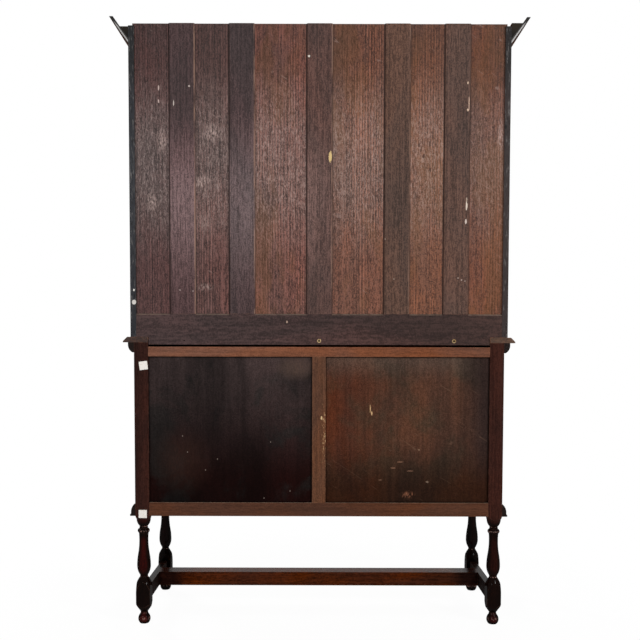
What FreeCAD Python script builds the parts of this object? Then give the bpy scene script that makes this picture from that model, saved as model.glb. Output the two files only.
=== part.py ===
import FreeCAD, Part
import math
import os
import types
import Sketcher

# A kitchen dresser in oak: a base on turned legs, with two drawers over two cupboards, and a
# plate rack that stands on it. Millimetres, +Z up. The front faces -Y and right is +X, as seen
# by someone who stands before it. The origin is on the floor, at the middle of the plan.

sizes = {
    # Base: the posts, the top board and the stock of the frames
    "leg_size": 46.5,
    "base_width": 1215,
    "base_depth": 460,
    "base_height": 957,
    "top_thickness": 18,
    "top_overhang": 36,
    "top_edge_bevel": 14,
    "carcass_bottom": 365,
    "rail_thickness": 22,
    "tenon_length": 14,
    "tenon_thickness": 10,
    "tenon_shoulder": 5,
    "groove_depth": 8,
    # Turning of the legs: the foot from the floor up, the block and vase from the stretcher's
    # faces, and the ring and neck from the underside of the carcass
    "foot_pad_radius": 14,
    "foot_radius": 20.3,
    "foot_widest": 15,
    "foot_neck_radius": 12,
    "foot_neck": 39.5,
    "block_low_rise": 3,
    "block_high_drop": 23,
    "block_neck_rise": 42,
    "vase_neck_radius": 13,
    "vase_neck_rise": 47,
    "vase_radius": 22.6,
    "vase_widest_rise": 79,
    "waist_radius": 14.8,
    "waist_drop": 85,
    "collar_radius": 15.9,
    "collar_drop": 60,
    "ring_radius": 19.9,
    "ring_drop": 52.5,
    "ring_top_radius": 14.5,
    "ring_top_drop": 45,
    "post_neck_radius": 13.3,
    "post_neck_drop": 37,
    "post_face_drop": 13,
    "post_square_rise": 2.5,
    "lathe_margin": 1,
    # Stretchers
    "stretcher_height": 48.5,
    "stretcher_bottom": 67.5,
    "side_stretcher_thickness": 22,
    "cross_stretcher_width": 64,
    "cross_stretcher_forward": 45,
    # Back of the base
    "back_thickness": 18,
    "back_rail_drop": 14,
    "back_top_rail_height": 32,
    "back_bottom_rail_height": 45,
    "back_muntin_width": 44.5,
    "back_panel_recess": 6,
    "panel_thickness": 8,
    # Sides of the base
    "side_recess": 6,
    "side_top_rail_height": 50,
    "side_bottom_rail_height": 45,
    # Front of the base
    "front_top_rail_height": 34,
    "front_bottom_rail_height": 45,
    "drawer_opening_height": 130,
    "drawer_rail_height": 24,
    "drawer_rail_depth": 60,
    "front_divider_width": 50,
    # Cupboard floor and drawer runners
    "floor_thickness": 16,
    "door_stop_rise": 6,
    "bearer_size": 20,
    "runner_width": 32,
    "guide_width": 16,
    "guide_height": 22,
    # Mouldings
    "top_moulding_height": 33,
    "top_moulding_reach": 19.5,
    "top_moulding_fillet": 8,
    "top_moulding_heel": 5,
    "base_moulding_height": 40,
    "base_moulding_reach": 17,
    "base_moulding_lip": 6,
    "base_moulding_waist": 14,
    "base_moulding_crown": 3,
    "saw_margin": 5,
    # Rack: side boards, back, shelves
    "rack_overhang": 10.5,
    "rack_depth": 230,
    "rack_height": 1001,
    "rack_side_thickness": 19,
    "rack_back_rise": 8,
    "rack_rail_thickness": 20,
    "rack_rail_height": 76,
    "rack_rail_drop": 7,
    "rack_rail_relief": 2,
    "rack_muntin_width": 85,
    "rack_muntin_thickness": 14,
    "narrow_panel_width": 109,
    "outer_panel_width": 110.5,
    "rack_panel_thickness": 7,
    "rack_panel_recess": 4,
    "rack_panel_drop": 0.5,
    "rack_housing": 6,
    "shelf_thickness": 15,
    "shelf_setback": 12,
    "lower_shelf_rise": 343,
    "shelf_spacing": 338,
    "plate_groove_width": 8,
    "plate_groove_depth": 4,
    "plate_groove_inset": 42,
    "roof_thickness": 16,
    "frieze_height": 74,
    "frieze_thickness": 18,
    # Cornice
    "cornice_drop": 57,
    "cornice_height": 86,
    "cornice_reach": 61,
    "cornice_thickness": 12,
    "glue_block_length": 60,
    "glue_block_drop": 32,
    "left_block_drop": 19,
    "glue_block_spacing": 420,
    # Screws that hold the rack to the base
    "screw_inset": 116.5,
    "screw_rise": 6,
    "screw_radius": 2.2,
    "screw_head_radius": 4,
    "screw_head_height": 2.5,
    "screw_bite": 22,
    "cup_radius": 6.5,
    "cup_thickness": 2.5,
    # Drawers
    "drawer_gap": 1.5,
    "drawer_front_thickness": 20,
    "drawer_side_thickness": 12,
    "drawer_box_height": 106,
    "drawer_back_gap": 32,
    "drawer_bottom_thickness": 6,
    "drawer_bottom_rise": 9,
    "drawer_groove": 5,
    "drawer_bead_inset": 8,
    "drawer_bead_rise": 6,
    "drawer_bead_lip": 4,
    "runner_play": 0.3,
    # Doors and their hinges
    "door_gap": 1.5,
    "door_thickness": 20,
    "door_stile_width": 55,
    "door_panel_thickness": 8,
    "door_groove": 9,
    "door_play": 0.5,
    "door_bead_rise": 5.5,
    "door_bead_lip": 5,
    "hinge_height": 45,
    "hinge_inset": 24,
    "hinge_leaf_width": 18,
    "hinge_leaf_thickness": 1,
    "hinge_play": 0.3,
    "knuckle_radius": 3,
    "hinge_pin_radius": 1.25,
    "pin_play": 0.05,
    # Drop handles
    "plate_width": 30,
    "plate_height": 54,
    "plate_thickness": 2.5,
    "stud_radius": 4.5,
    "stud_length": 16,
    "pivot_out": 12,
    "slot_width": 3.8,
    "slot_depth": 4.6,
    "tab_thickness": 3.2,
    "tab_width": 6,
    "tab_top": 3,
    "handle_pin_radius": 1.3,
    "drop_neck": 7.5,
    "drop_neck_radius": 2.2,
    "drop_widest": 34,
    "drop_radius": 7.5,
    "drop_length": 46,
    "drop_tip_radius": 2.5,
    "handle_lift": 14,
}

doc = FreeCAD.newDocument("kitchen_dresser")
sheet = doc.addObject("Spreadsheet::Sheet", "Sizes")
for row, (name, number) in enumerate(sizes.items(), start=1):
    sheet.set(f"A{row}", name)
    sheet.set(f"B{row}", str(number))
    sheet.setAlias(f"B{row}", name)
doc.recompute()


class Size:
    """A size that keeps the sheet formula it comes from, so that a feature can be bound to it."""

    def __init__(self, number, formula):
        self.number = float(number)
        self.formula = formula

    def __add__(self, other):
        other = as_size(other)
        return Size(self.number + other.number, f"({self.formula} + {other.formula})")

    def __sub__(self, other):
        other = as_size(other)
        return Size(self.number - other.number, f"({self.formula} - {other.formula})")

    def __mul__(self, other):
        other = as_size(other)
        return Size(self.number * other.number, f"({self.formula} * {other.formula})")

    def __truediv__(self, other):
        other = as_size(other)
        return Size(self.number / other.number, f"({self.formula} / {other.formula})")

    def __neg__(self):
        return Size(-self.number, f"(-1 * {self.formula})")


def as_size(thing):
    return thing if isinstance(thing, Size) else Size(thing, repr(thing))


d = types.SimpleNamespace(**{name: Size(sheet.get(name), "Sizes." + name) for name in sizes})
nothing = as_size(0)
nodes = []


def bind(thing, **lengths):
    """Ties properties of a feature to sizes."""
    for name, length in lengths.items():
        thing.setExpression(name, as_size(length).formula)


def place(thing, x, y, z):
    """Ties the place of a piece to sizes."""
    for axis, length in zip("xyz", (x, y, z)):
        thing.setExpression(f"Placement.Base.{axis}", as_size(length).formula)


def about(centre, width):
    return centre - width / 2, centre + width / 2


def board(label, x, y, z):
    """A sawn board: x, y and z are each its low and high plane."""
    box = doc.addObject("Part::Box", label)
    bind(box, Length=x[1] - x[0], Width=y[1] - y[0], Height=z[1] - z[0])
    place(box, x[0], y[0], z[0])
    return box


def rod(label, axis, radius, length, x, y, z):
    """A round bar that starts at a point and runs along +Z, +X or -Y."""
    turns = {"Z": FreeCAD.Rotation(), "X": FreeCAD.Rotation(FreeCAD.Vector(0, 1, 0), 90)}
    turns["-Y"] = FreeCAD.Rotation(FreeCAD.Vector(1, 0, 0), 90)
    bar = doc.addObject("Part::Cylinder", label)
    bar.Placement = FreeCAD.Placement(FreeCAD.Vector(), turns[axis])
    bind(bar, Radius=radius, Height=length)
    place(bar, x, y, z)
    return bar


def joined(label, *pieces):
    """One solid glued or cast from several shapes."""
    whole = doc.addObject("Part::MultiFuse", label)
    whole.Shapes = pieces
    whole.Refine = True
    return whole


def cut(label, piece, *tools):
    """A piece with the shapes of others taken out: mortises, grooves, housings and holes."""
    result = doc.addObject("Part::Cut", label)
    result.Base = piece
    result.Tool = tools[0] if len(tools) == 1 else joined(label + "_cuts", *tools)
    return result


def common(label, first, second):
    """What two shapes share: a run cut to its mitres, or a post turned down on the lathe."""
    result = doc.addObject("Part::Common", label)
    result.Base = first
    result.Tool = second
    return result


def mirrored(label, piece):
    """The left-hand twin of a right-hand piece."""
    twin = doc.addObject("Part::Mirroring", label)
    twin.Source = piece
    twin.Normal = (1, 0, 0)
    return twin


def node(label, *solids):
    """Names a finished piece, or a set of like pieces, as a part of the dresser."""
    if len(solids) == 1:
        piece = solids[0]
    else:
        piece = doc.addObject("Part::Compound", label)
        piece.Links = solids
    piece.Label = label
    nodes.append(piece)
    return piece


def pair(label, right_piece):
    """Names a right-hand piece and makes its left-hand twin: label holds the word SIDE."""
    node(label.replace("SIDE", "right"), right_piece)
    node(label.replace("SIDE", "left"), mirrored(label.replace("SIDE", "left"), right_piece))


def upright_arc(here, there, level):
    """An arc whose centre is level with its start or its end, and whether it runs anticlockwise."""
    pole, far = (here, there) if level == "start" else (there, here)
    run = far.x - pole.x
    rise = far.y - pole.y
    radius = (run * run + rise * rise) / (2 * run)
    centre = FreeCAD.Vector(pole.x + radius, pole.y, 0)
    first, last = (math.atan2(end.y - centre.y, end.x - centre.x) for end in (here, there))
    anticlockwise = (last - first) % math.tau < math.pi
    if not anticlockwise:
        first, last = last, first
    circle = Part.Circle(centre, FreeCAD.Vector(0, 0, 1), abs(radius))
    return Part.ArcOfCircle(circle, first, last), anticlockwise


def outline(sketch, corners):
    """Draws a closed outline and ties each corner to its sizes.

    A corner is (x, y), reached by a line, or (x, y, level), reached by an arc that runs upright
    at its "start" or its "end". The last corner closes on the first.
    """
    edges = []
    for index, corner in enumerate(corners):
        before = corners[index - 1]
        here = FreeCAD.Vector(before[0].number, before[1].number, 0)
        there = FreeCAD.Vector(corner[0].number, corner[1].number, 0)
        if len(corner) == 2:
            edge = sketch.addGeometry(Part.LineSegment(here, there))
            begin, end = 1, 2
        else:
            arc, anticlockwise = upright_arc(here, there, corner[2])
            edge = sketch.addGeometry(arc)
            begin, end = (1, 2) if anticlockwise else (2, 1)
            level = begin if corner[2] == "start" else end
            sketch.addConstraint(Sketcher.Constraint("Horizontal", edge, 3, edge, level))
        for direction, length in (("DistanceX", corner[0]), ("DistanceY", corner[1])):
            rule = Sketcher.Constraint(direction, -1, 1, edge, end, length.number)
            sketch.setExpression(f"Constraints[{sketch.addConstraint(rule)}]", length.formula)
        edges.append((edge, begin, end))
    for index, (edge, begin, _) in enumerate(edges):
        last_edge, _, last_end = edges[index - 1]
        sketch.addConstraint(Sketcher.Constraint("Coincident", last_edge, last_end, edge, begin))


def profile(body, label, plane, offset, corners):
    """A sketch on one of the body's own planes, moved along that plane's normal."""
    sketch = body.newObject("Sketcher::SketchObject", label)
    support = [feature for feature in body.Origin.OriginFeatures if feature.Role == plane]
    sketch.AttachmentSupport = [(support[0], "")]
    sketch.MapMode = "FlatFace"
    outline(sketch, corners)
    bind(sketch, **{"AttachmentOffset.Base.z": offset})
    return sketch


def prism(label, plane, offset, length, corners):
    """A body of one outline, run along its plane's normal: +Z for XY, -Y for XZ, +X for YZ."""
    body = doc.addObject("PartDesign::Body", label)
    pad = body.newObject("PartDesign::Pad", label + "_run")
    pad.Profile = profile(body, label + "_outline", plane + "_Plane", offset, corners)
    bind(pad, Length=length)
    body.Tip = pad
    return body


def turned(label, corners):
    """A body turned on the lathe about the upright axis from half of its outline."""
    body = doc.addObject("PartDesign::Body", label)
    sketch = profile(body, label + "_outline", "XZ_Plane", nothing, corners)
    turning = body.newObject("PartDesign::Revolution", label + "_turning")
    turning.Profile = sketch
    turning.ReferenceAxis = (sketch, ["V_Axis"])
    turning.Angle = 360
    body.Tip = turning
    return body


def on_line(first, last, share):
    """The point part of the way along a line, where two arcs of an S-curve meet smoothly."""
    return tuple(a + (b - a) * share for a, b in zip(first, last))


# Main planes of the base
top_underside = d.base_height - d.top_thickness
half_width = d.base_width / 2
rear = (d.base_depth + d.top_overhang) / 2
front = rear - d.base_depth
post_inner = half_width - d.leg_size
rear_post_face = rear - d.leg_size
front_post_face = front + d.leg_size
leg_x = half_width - d.leg_size / 2
rear_leg_y = rear - d.leg_size / 2
front_leg_y = front + d.leg_size / 2

# Side stretchers, tenoned into the blocks of the legs
stretcher_top = d.stretcher_bottom + d.stretcher_height
stretcher_tenon_z = (d.stretcher_bottom + d.tenon_shoulder, stretcher_top - d.tenon_shoulder)
stretcher_tenon_x = about(leg_x, d.tenon_thickness)
stretcher_rear_tenon = board("stretcher_rear_tenon", stretcher_tenon_x,
                             (rear_post_face, rear_post_face + d.tenon_length), stretcher_tenon_z)
stretcher_front_tenon = board("stretcher_front_tenon", stretcher_tenon_x,
                              (front_post_face - d.tenon_length, front_post_face), stretcher_tenon_z)
side_stretcher_x = about(leg_x, d.side_stretcher_thickness)
side_stretcher_bar = board("side_stretcher_bar", side_stretcher_x, (front_post_face, rear_post_face),
                           (d.stretcher_bottom, stretcher_top))
side_stretcher_whole = joined("side_stretcher_whole", side_stretcher_bar, stretcher_rear_tenon,
                              stretcher_front_tenon)

# Cross stretcher: a broad flat bar between the side stretchers
cross_y = about((rear_leg_y + front_leg_y) / 2 - d.cross_stretcher_forward, d.cross_stretcher_width)
cross_x = side_stretcher_x[0]
cross_tenon_x = cross_x + d.side_stretcher_thickness / 2
cross_tenon = board("cross_tenon", (-cross_tenon_x, cross_tenon_x),
                    (cross_y[0] + d.tenon_shoulder, cross_y[1] - d.tenon_shoulder), stretcher_tenon_z)
cross_bar = board("cross_bar", (-cross_x, cross_x), cross_y, (d.stretcher_bottom, stretcher_top))
node("stretcher_cross", joined("stretcher_cross", cross_bar, cross_tenon))
pair("stretcher_SIDE", cut("stretcher_right", side_stretcher_whole, cross_tenon))

# Sides of the base: two rails and a panel, all tongued into a groove down the posts
side_rail_x = (half_width - d.side_recess - d.rail_thickness, half_width - d.side_recess)
side_panel_x = about((side_rail_x[0] + side_rail_x[1]) / 2, d.panel_thickness)
side_y = (front_post_face, rear_post_face)
tongue_y = (side_y[0] - d.groove_depth, side_y[1] + d.groove_depth)
side_top_z = (top_underside - d.side_top_rail_height, top_underside)
side_bottom_z = (d.carcass_bottom, d.carcass_bottom + d.side_bottom_rail_height)
side_panel = board("side_panel", side_panel_x, tongue_y,
                   (side_bottom_z[1] - d.groove_depth, side_top_z[0] + d.groove_depth))
side_top_tongue = board("side_top_tongue", side_panel_x, tongue_y,
                        (side_top_z[0] + d.groove_depth, side_top_z[1] - d.tenon_shoulder))
side_bottom_tongue = board("side_bottom_tongue", side_panel_x, tongue_y,
                           (side_bottom_z[0] + d.tenon_shoulder, side_bottom_z[1] - d.groove_depth))
side_top_blank = board("side_top_blank", side_rail_x, side_y, side_top_z)
side_bottom_blank = board("side_bottom_blank", side_rail_x, side_y, side_bottom_z)
side_top_rail = cut("side_top_rail", joined("side_top_tongued", side_top_blank, side_top_tongue), side_panel)
side_bottom_rail = cut("side_bottom_rail",
                       joined("side_bottom_tongued", side_bottom_blank, side_bottom_tongue), side_panel)
node("side_rails", side_top_rail, side_bottom_rail, mirrored("side_top_rail_left", side_top_rail),
     mirrored("side_bottom_rail_left", side_bottom_rail))
node("side_panels", side_panel, mirrored("side_panel_left", side_panel))

# Back of the base: two rails tenoned into the rear posts and a muntin, round two panels in grooves
back_y = (rear - d.back_thickness, rear)
back_top_z = (top_underside - d.back_rail_drop - d.back_top_rail_height, top_underside - d.back_rail_drop)
back_bottom_z = (d.carcass_bottom, d.carcass_bottom + d.back_bottom_rail_height)
back_panel_y = (rear - d.back_panel_recess - d.panel_thickness, rear - d.back_panel_recess)
back_muntin_x = d.back_muntin_width / 2
rail_tenon_x = post_inner + d.tenon_length


def tenoned_rail(label, y, tenon_y, z):
    """A rail between two posts, and the tenons that their mortises are cut from."""
    tenon = board(label + "_tenon", (-rail_tenon_x, rail_tenon_x), tenon_y,
                  (z[0] + d.tenon_shoulder, z[1] - d.tenon_shoulder))
    bar = board(label + "_bar", (-post_inner, post_inner), y, z)
    return joined(label + "_tenoned", bar, tenon), tenon


back_panel = board("back_panel", (back_muntin_x - d.groove_depth, post_inner + d.groove_depth), back_panel_y,
                   (back_bottom_z[1] - d.groove_depth, back_top_z[0] + d.groove_depth))
back_panel_twin = mirrored("back_panel_left", back_panel)
back_muntin_tenon = board("back_muntin_tenon", about(nothing, d.back_muntin_width - d.groove_depth * 2),
                          back_panel_y, (back_bottom_z[1] - d.groove_depth, back_top_z[0] + d.groove_depth))
back_muntin_blank = board("back_muntin_blank", (-back_muntin_x, back_muntin_x), back_y,
                          (back_bottom_z[1], back_top_z[0]))
back_top, back_top_tenon = tenoned_rail("back_top_rail", back_y, back_panel_y, back_top_z)
back_bottom, back_bottom_tenon = tenoned_rail("back_bottom_rail", back_y, back_panel_y, back_bottom_z)
node("back_top_rail", cut("back_top_rail", back_top, back_panel, back_panel_twin, back_muntin_tenon))
node("back_bottom_rail", cut("back_bottom_rail", back_bottom, back_panel, back_panel_twin, back_muntin_tenon))
node("back_muntin", cut("back_muntin", joined("back_muntin_tenoned", back_muntin_blank, back_muntin_tenon),
                        back_panel, back_panel_twin))
node("back_panel_right", back_panel)
node("back_panel_left", back_panel_twin)

# Front of the base: three rails tenoned into the front posts
front_y = (front, front + d.rail_thickness)
front_tenon_y = about((front_y[0] + front_y[1]) / 2, d.tenon_thickness)
front_top_z = (top_underside - d.front_top_rail_height, top_underside)
drawer_floor = front_top_z[0] - d.drawer_opening_height
drawer_rail_z = (drawer_floor - d.drawer_rail_height, drawer_floor)
front_bottom_z = (d.carcass_bottom, d.carcass_bottom + d.front_bottom_rail_height)
drawer_rail_y = (front, front + d.drawer_rail_depth)
front_top, front_top_tenon = tenoned_rail("front_top_rail", front_y, front_tenon_y, front_top_z)
drawer_bar, drawer_rail_tenon = tenoned_rail("drawer_rail", drawer_rail_y, front_tenon_y, drawer_rail_z)
front_bottom, front_bottom_tenon = tenoned_rail("front_bottom_rail", front_y, front_tenon_y, front_bottom_z)

# Dividers between the drawers and between the doors, tenoned into the rails above and below
divider_x = about(nothing, d.front_divider_width)
divider_tenon_x = about(nothing, d.front_divider_width - d.tenon_shoulder * 2)


def divider(label, z):
    tenon = board(label + "_tenon", divider_tenon_x, front_tenon_y,
                  (z[0] - d.groove_depth, z[1] + d.groove_depth))
    return joined(label, board(label + "_post", divider_x, front_y, z), tenon), tenon


drawer_divider, drawer_divider_tenon = divider("drawer_divider", (drawer_rail_z[1], front_top_z[0]))
door_divider, door_divider_tenon = divider("door_divider", (front_bottom_z[1], drawer_rail_z[0]))
node("front_top_rail", cut("front_top_rail", front_top, drawer_divider_tenon))
node("drawer_rail", cut("drawer_rail", drawer_bar, drawer_divider_tenon, door_divider_tenon))
node("front_bottom_rail", cut("front_bottom_rail", front_bottom, door_divider_tenon))
node("drawer_divider", drawer_divider)
node("door_divider", door_divider)

# Legs: square posts turned below the carcass, with mortises for the rails and grooves for the panels
HALF_DIAGONAL = math.sqrt(2) / 2
VASE_TURN = 0.45
FOOT_TURN = 0.6
swing = d.leg_size * HALF_DIAGONAL + d.lathe_margin
vase_widest = stretcher_top + d.vase_widest_rise
waist = d.carcass_bottom - d.waist_drop
vase_turn = on_line((d.vase_radius, vase_widest), (d.waist_radius, waist), VASE_TURN)
foot_turn = on_line((d.foot_radius, d.foot_widest), (d.foot_neck_radius, d.foot_neck), FOOT_TURN)
leg_outline = [
    (nothing, nothing),
    (d.foot_pad_radius, nothing),
    (d.foot_radius, d.foot_widest, "end"),
    (*foot_turn, "start"),
    (d.foot_neck_radius, d.foot_neck, "end"),
    (swing, d.stretcher_bottom + d.block_low_rise),
    (swing, stretcher_top - d.block_high_drop),
    (d.vase_neck_radius, stretcher_top + d.block_neck_rise, "start"),
    (d.vase_neck_radius, stretcher_top + d.vase_neck_rise),
    (d.vase_radius, vase_widest, "end"),
    (*vase_turn, "start"),
    (d.waist_radius, waist, "end"),
    (d.collar_radius, d.carcass_bottom - d.collar_drop, "start"),
    (d.ring_radius, d.carcass_bottom - d.ring_drop, "end"),
    (d.ring_top_radius, d.carcass_bottom - d.ring_top_drop, "start"),
    (d.post_neck_radius, d.carcass_bottom - d.post_neck_drop),
    (d.leg_size / 2, d.carcass_bottom - d.post_face_drop, "end"),
    (swing, d.carcass_bottom + d.post_square_rise),
    (swing, top_underside),
    (nothing, top_underside),
]


def leg(label, y):
    """A square post whose foot, block and vase are turned on the lathe."""
    turning = turned(label + "_turning", leg_outline)
    place(turning, leg_x, y, nothing)
    post = board(label + "_post", about(leg_x, d.leg_size), about(y, d.leg_size), (nothing, top_underside))
    return common(label + "_turned", post, turning)


side_tongues = (side_panel, side_top_tongue, side_bottom_tongue)
pair("leg_rear_SIDE", cut("leg_rear_right", leg("leg_rear", rear_leg_y), *side_tongues,
                          stretcher_rear_tenon, back_panel, back_top_tenon, back_bottom_tenon))
pair("leg_front_SIDE", cut("leg_front_right", leg("leg_front", front_leg_y), *side_tongues,
                           stretcher_front_tenon, front_top_tenon, drawer_rail_tenon, front_bottom_tenon))

# Cupboard floor: notched round the posts, on two bearers, and proud of the rail as the door stop
floor_z = (front_bottom_z[1] + d.door_stop_rise - d.floor_thickness, front_bottom_z[1] + d.door_stop_rise)
floor_y = (front + d.door_thickness + d.door_play, back_y[0])
floor_blank = board("floor_blank", (-side_rail_x[0], side_rail_x[0]), floor_y, floor_z)
floor_notches = []
for side, x in (("right", (post_inner, half_width)), ("left", (-half_width, -post_inner))):
    floor_notches.append(board(f"floor_rear_notch_{side}", x, (rear_post_face, rear), floor_z))
    floor_notches.append(board(f"floor_front_notch_{side}", x, (front, front_post_face), floor_z))
floor_sill = board("floor_sill", (-post_inner, post_inner), front_y, (floor_z[0], front_bottom_z[1]))
node("cupboard_floor", cut("cupboard_floor", floor_blank, floor_sill, door_divider, *floor_notches))
bearer_z = (floor_z[0] - d.bearer_size, floor_z[0])
node("floor_bearers",
     board("front_bearer", (-post_inner, post_inner), (front_y[1], front_y[1] + d.bearer_size), bearer_z),
     board("back_bearer", (-post_inner, post_inner), (back_y[0] - d.bearer_size, back_y[0]), bearer_z))

# Drawer runners behind the drawer rail, with the guides that keep the drawers straight
runner_y = (drawer_rail_y[1], back_y[0])
side_runner = board("side_runner", (post_inner - d.runner_width, post_inner), runner_y, drawer_rail_z)
side_guide = board("side_guide", (post_inner, post_inner + d.guide_width), side_y,
                   (drawer_rail_z[0], drawer_rail_z[1] + d.guide_height))
centre_runner_x = d.front_divider_width / 2 + d.runner_width
centre_runner = joined(
    "centre_runner",
    board("centre_runner_bar", (-centre_runner_x, centre_runner_x), runner_y, drawer_rail_z),
    board("centre_guide", divider_x, runner_y, (drawer_rail_z[1], drawer_rail_z[1] + d.guide_height)))
node("drawer_runners", centre_runner, side_runner, mirrored("side_runner_left", side_runner))
node("drawer_guides", side_guide, mirrored("side_guide_left", side_guide))

# Rack back: a rail that drops through a notch of the base top, muntins, and panels in grooves.
# A chamfer runs from the rail and the muntins down to the face of each panel
rack_half = half_width + d.rack_overhang
rack_inner = rack_half - d.rack_side_thickness
rack_front = rear - d.rack_depth
rail_y = (rear - d.rack_rail_thickness, rear)
rail_foot = top_underside - d.rack_rail_drop
muntin_y = (rear - d.rack_muntin_thickness, rear)
rack_panel_y = (rear - d.rack_panel_recess - d.rack_panel_thickness, rear - d.rack_panel_recess)
rack_side_top = d.base_height + d.rack_height
rack_rail_top = d.base_height + d.rack_rail_height
back_top = rack_side_top + d.rack_back_rise
panel_z = (rack_rail_top - d.rack_housing, back_top - d.rack_panel_drop)
muntin_half = d.rack_muntin_width / 2
outer_muntin = rack_inner - d.outer_panel_width - muntin_half
inner_muntin = outer_muntin - d.rack_muntin_width - d.narrow_panel_width
muntin_places = {"far_left": -outer_muntin, "left": -inner_muntin, "centre": nothing,
                 "right": inner_muntin, "far_right": outer_muntin}
rack_bays = {"wide": (muntin_half, inner_muntin - muntin_half),
             "narrow": (inner_muntin + muntin_half, outer_muntin - muntin_half),
             "outer": (outer_muntin + muntin_half, rack_inner)}
chamfer = d.rack_panel_recess
rack_panels = []
rail_chamfers = []
for name, (low, high) in rack_bays.items():
    panel = board(f"{name}_panel", (low - d.rack_housing, high + d.rack_housing), rack_panel_y, panel_z)
    sliver = prism(f"{name}_chamfer", "YZ", low, high - low,
                   [(rear, rack_rail_top), (rear - chamfer, rack_rail_top), (rear, rack_rail_top - chamfer)])
    rack_panels += [panel, mirrored(f"{name}_panel_left", panel)]
    rail_chamfers += [sliver, mirrored(f"{name}_chamfer_left", sliver)]
rack_muntins = []
muntin_tenons = []
for name, x in muntin_places.items():
    left, right = about(x, d.rack_muntin_width)
    post = prism(f"muntin_{name}_board", "XY", rack_rail_top, back_top - rack_rail_top,
                 [(left, muntin_y[0]), (right, muntin_y[0]), (right, rear - chamfer),
                  (right - chamfer, rear), (left + chamfer, rear), (left, rear - chamfer)])
    tenon = board(f"muntin_{name}_tenon", about(x, d.rack_muntin_width - d.rack_housing * 2), rack_panel_y,
                  (rack_rail_top - d.rack_housing, rack_rail_top))
    rack_muntins.append(cut(f"muntin_{name}", joined(f"muntin_{name}_tenoned", post, tenon), *rack_panels))
    muntin_tenons.append(tenon)
node("rack_muntins", *rack_muntins)
node("rack_panels", *rack_panels)

# Screws that hold the rack's rail to the edge of the base top, each in a cup, and one spare hole
rack_skirt_x = post_inner - d.rack_rail_relief
screw_z = top_underside + d.screw_rise
screw_spread = rack_skirt_x - d.screw_inset
screw_places = {"centre": nothing, "left": -screw_spread, "spare": screw_spread}
screw_reach = d.rack_rail_thickness + d.screw_bite
hole_radius = d.screw_radius + d.pin_play
seat_radius = d.cup_radius + d.pin_play
rack_screws = []
screw_holes = []
screw_pilots = []
cup_seats = []
for name, x in screw_places.items():
    screw_holes.append(rod(f"screw_{name}_hole", "-Y", hole_radius, screw_reach, x, rear, screw_z))
    if name == "spare":
        continue
    screw_pilots.append(screw_holes[-1])
    cup_seats.append(rod(f"cup_{name}_seat", "-Y", seat_radius, d.cup_thickness, x, rear, screw_z))
    cup = rod(f"cup_{name}_blank", "-Y", d.cup_radius, d.cup_thickness, x, rear, screw_z)
    head = rod(f"screw_{name}_head", "-Y", d.screw_head_radius, d.screw_head_height, x, rear, screw_z)
    shank = rod(f"screw_{name}_shank", "-Y", d.screw_radius, screw_reach, x, rear, screw_z)
    screw = joined(f"screw_{name}", head, shank)
    rack_screws += [screw, cut(f"screw_{name}_cup", cup, screw)]
node("rack_screws", *rack_screws)

# Rack rail, with the tenons that fix it to the side boards
rack_rail_bar = board("rack_rail_bar", (-rack_inner, rack_inner), rail_y, (d.base_height, rack_rail_top))
rack_rail_skirt = board("rack_rail_skirt", (-rack_skirt_x, rack_skirt_x), rail_y, (rail_foot, d.base_height))
rack_rail_end = rack_inner + d.rack_housing
rack_rail_tenon = board("rack_rail_tenon", (-rack_rail_end, rack_rail_end), rack_panel_y,
                        (d.base_height + d.tenon_shoulder, rack_rail_top - d.rack_housing))
rack_rail_whole = joined("rack_rail_whole", rack_rail_bar, rack_rail_skirt, rack_rail_tenon)
node("rack_rail", cut("rack_rail", rack_rail_whole, *rack_panels, *muntin_tenons, *rail_chamfers,
                      *screw_holes, *cup_seats))

# Base top: one board with a bevelled edge to the front and sides, notched behind for the rack's rail
top_x = half_width + d.top_overhang
top_front = front - d.top_overhang
top_board = prism("top_board", "XY", top_underside, d.top_thickness,
                  [(-top_x, rear), (-top_x, top_front), (top_x, top_front), (top_x, rear)])
doc.recompute()
upper_face = max(top_board.Shape.Faces, key=lambda face: face.CenterOfMass.z)
upper_edges = []
for index, edge in enumerate(top_board.Shape.Edges, start=1):
    borders_upper_face = any(edge.isSame(border) for border in upper_face.Edges)
    if borders_upper_face and edge.CenterOfMass.y < rear_post_face.number:
        upper_edges.append(f"Edge{index}")
square_edged = top_board.Tip
bevel = top_board.newObject("PartDesign::Chamfer", "top_board_bevel")
bevel.Base = (square_edged, upper_edges)
bind(bevel, Size=d.top_edge_bevel)
top_board.Tip = bevel
top_notch = board("top_notch", (-post_inner, post_inner), rail_y, (top_underside, d.base_height))
node("base_top", cut("base_top", top_board, top_notch, *screw_pilots))


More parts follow.
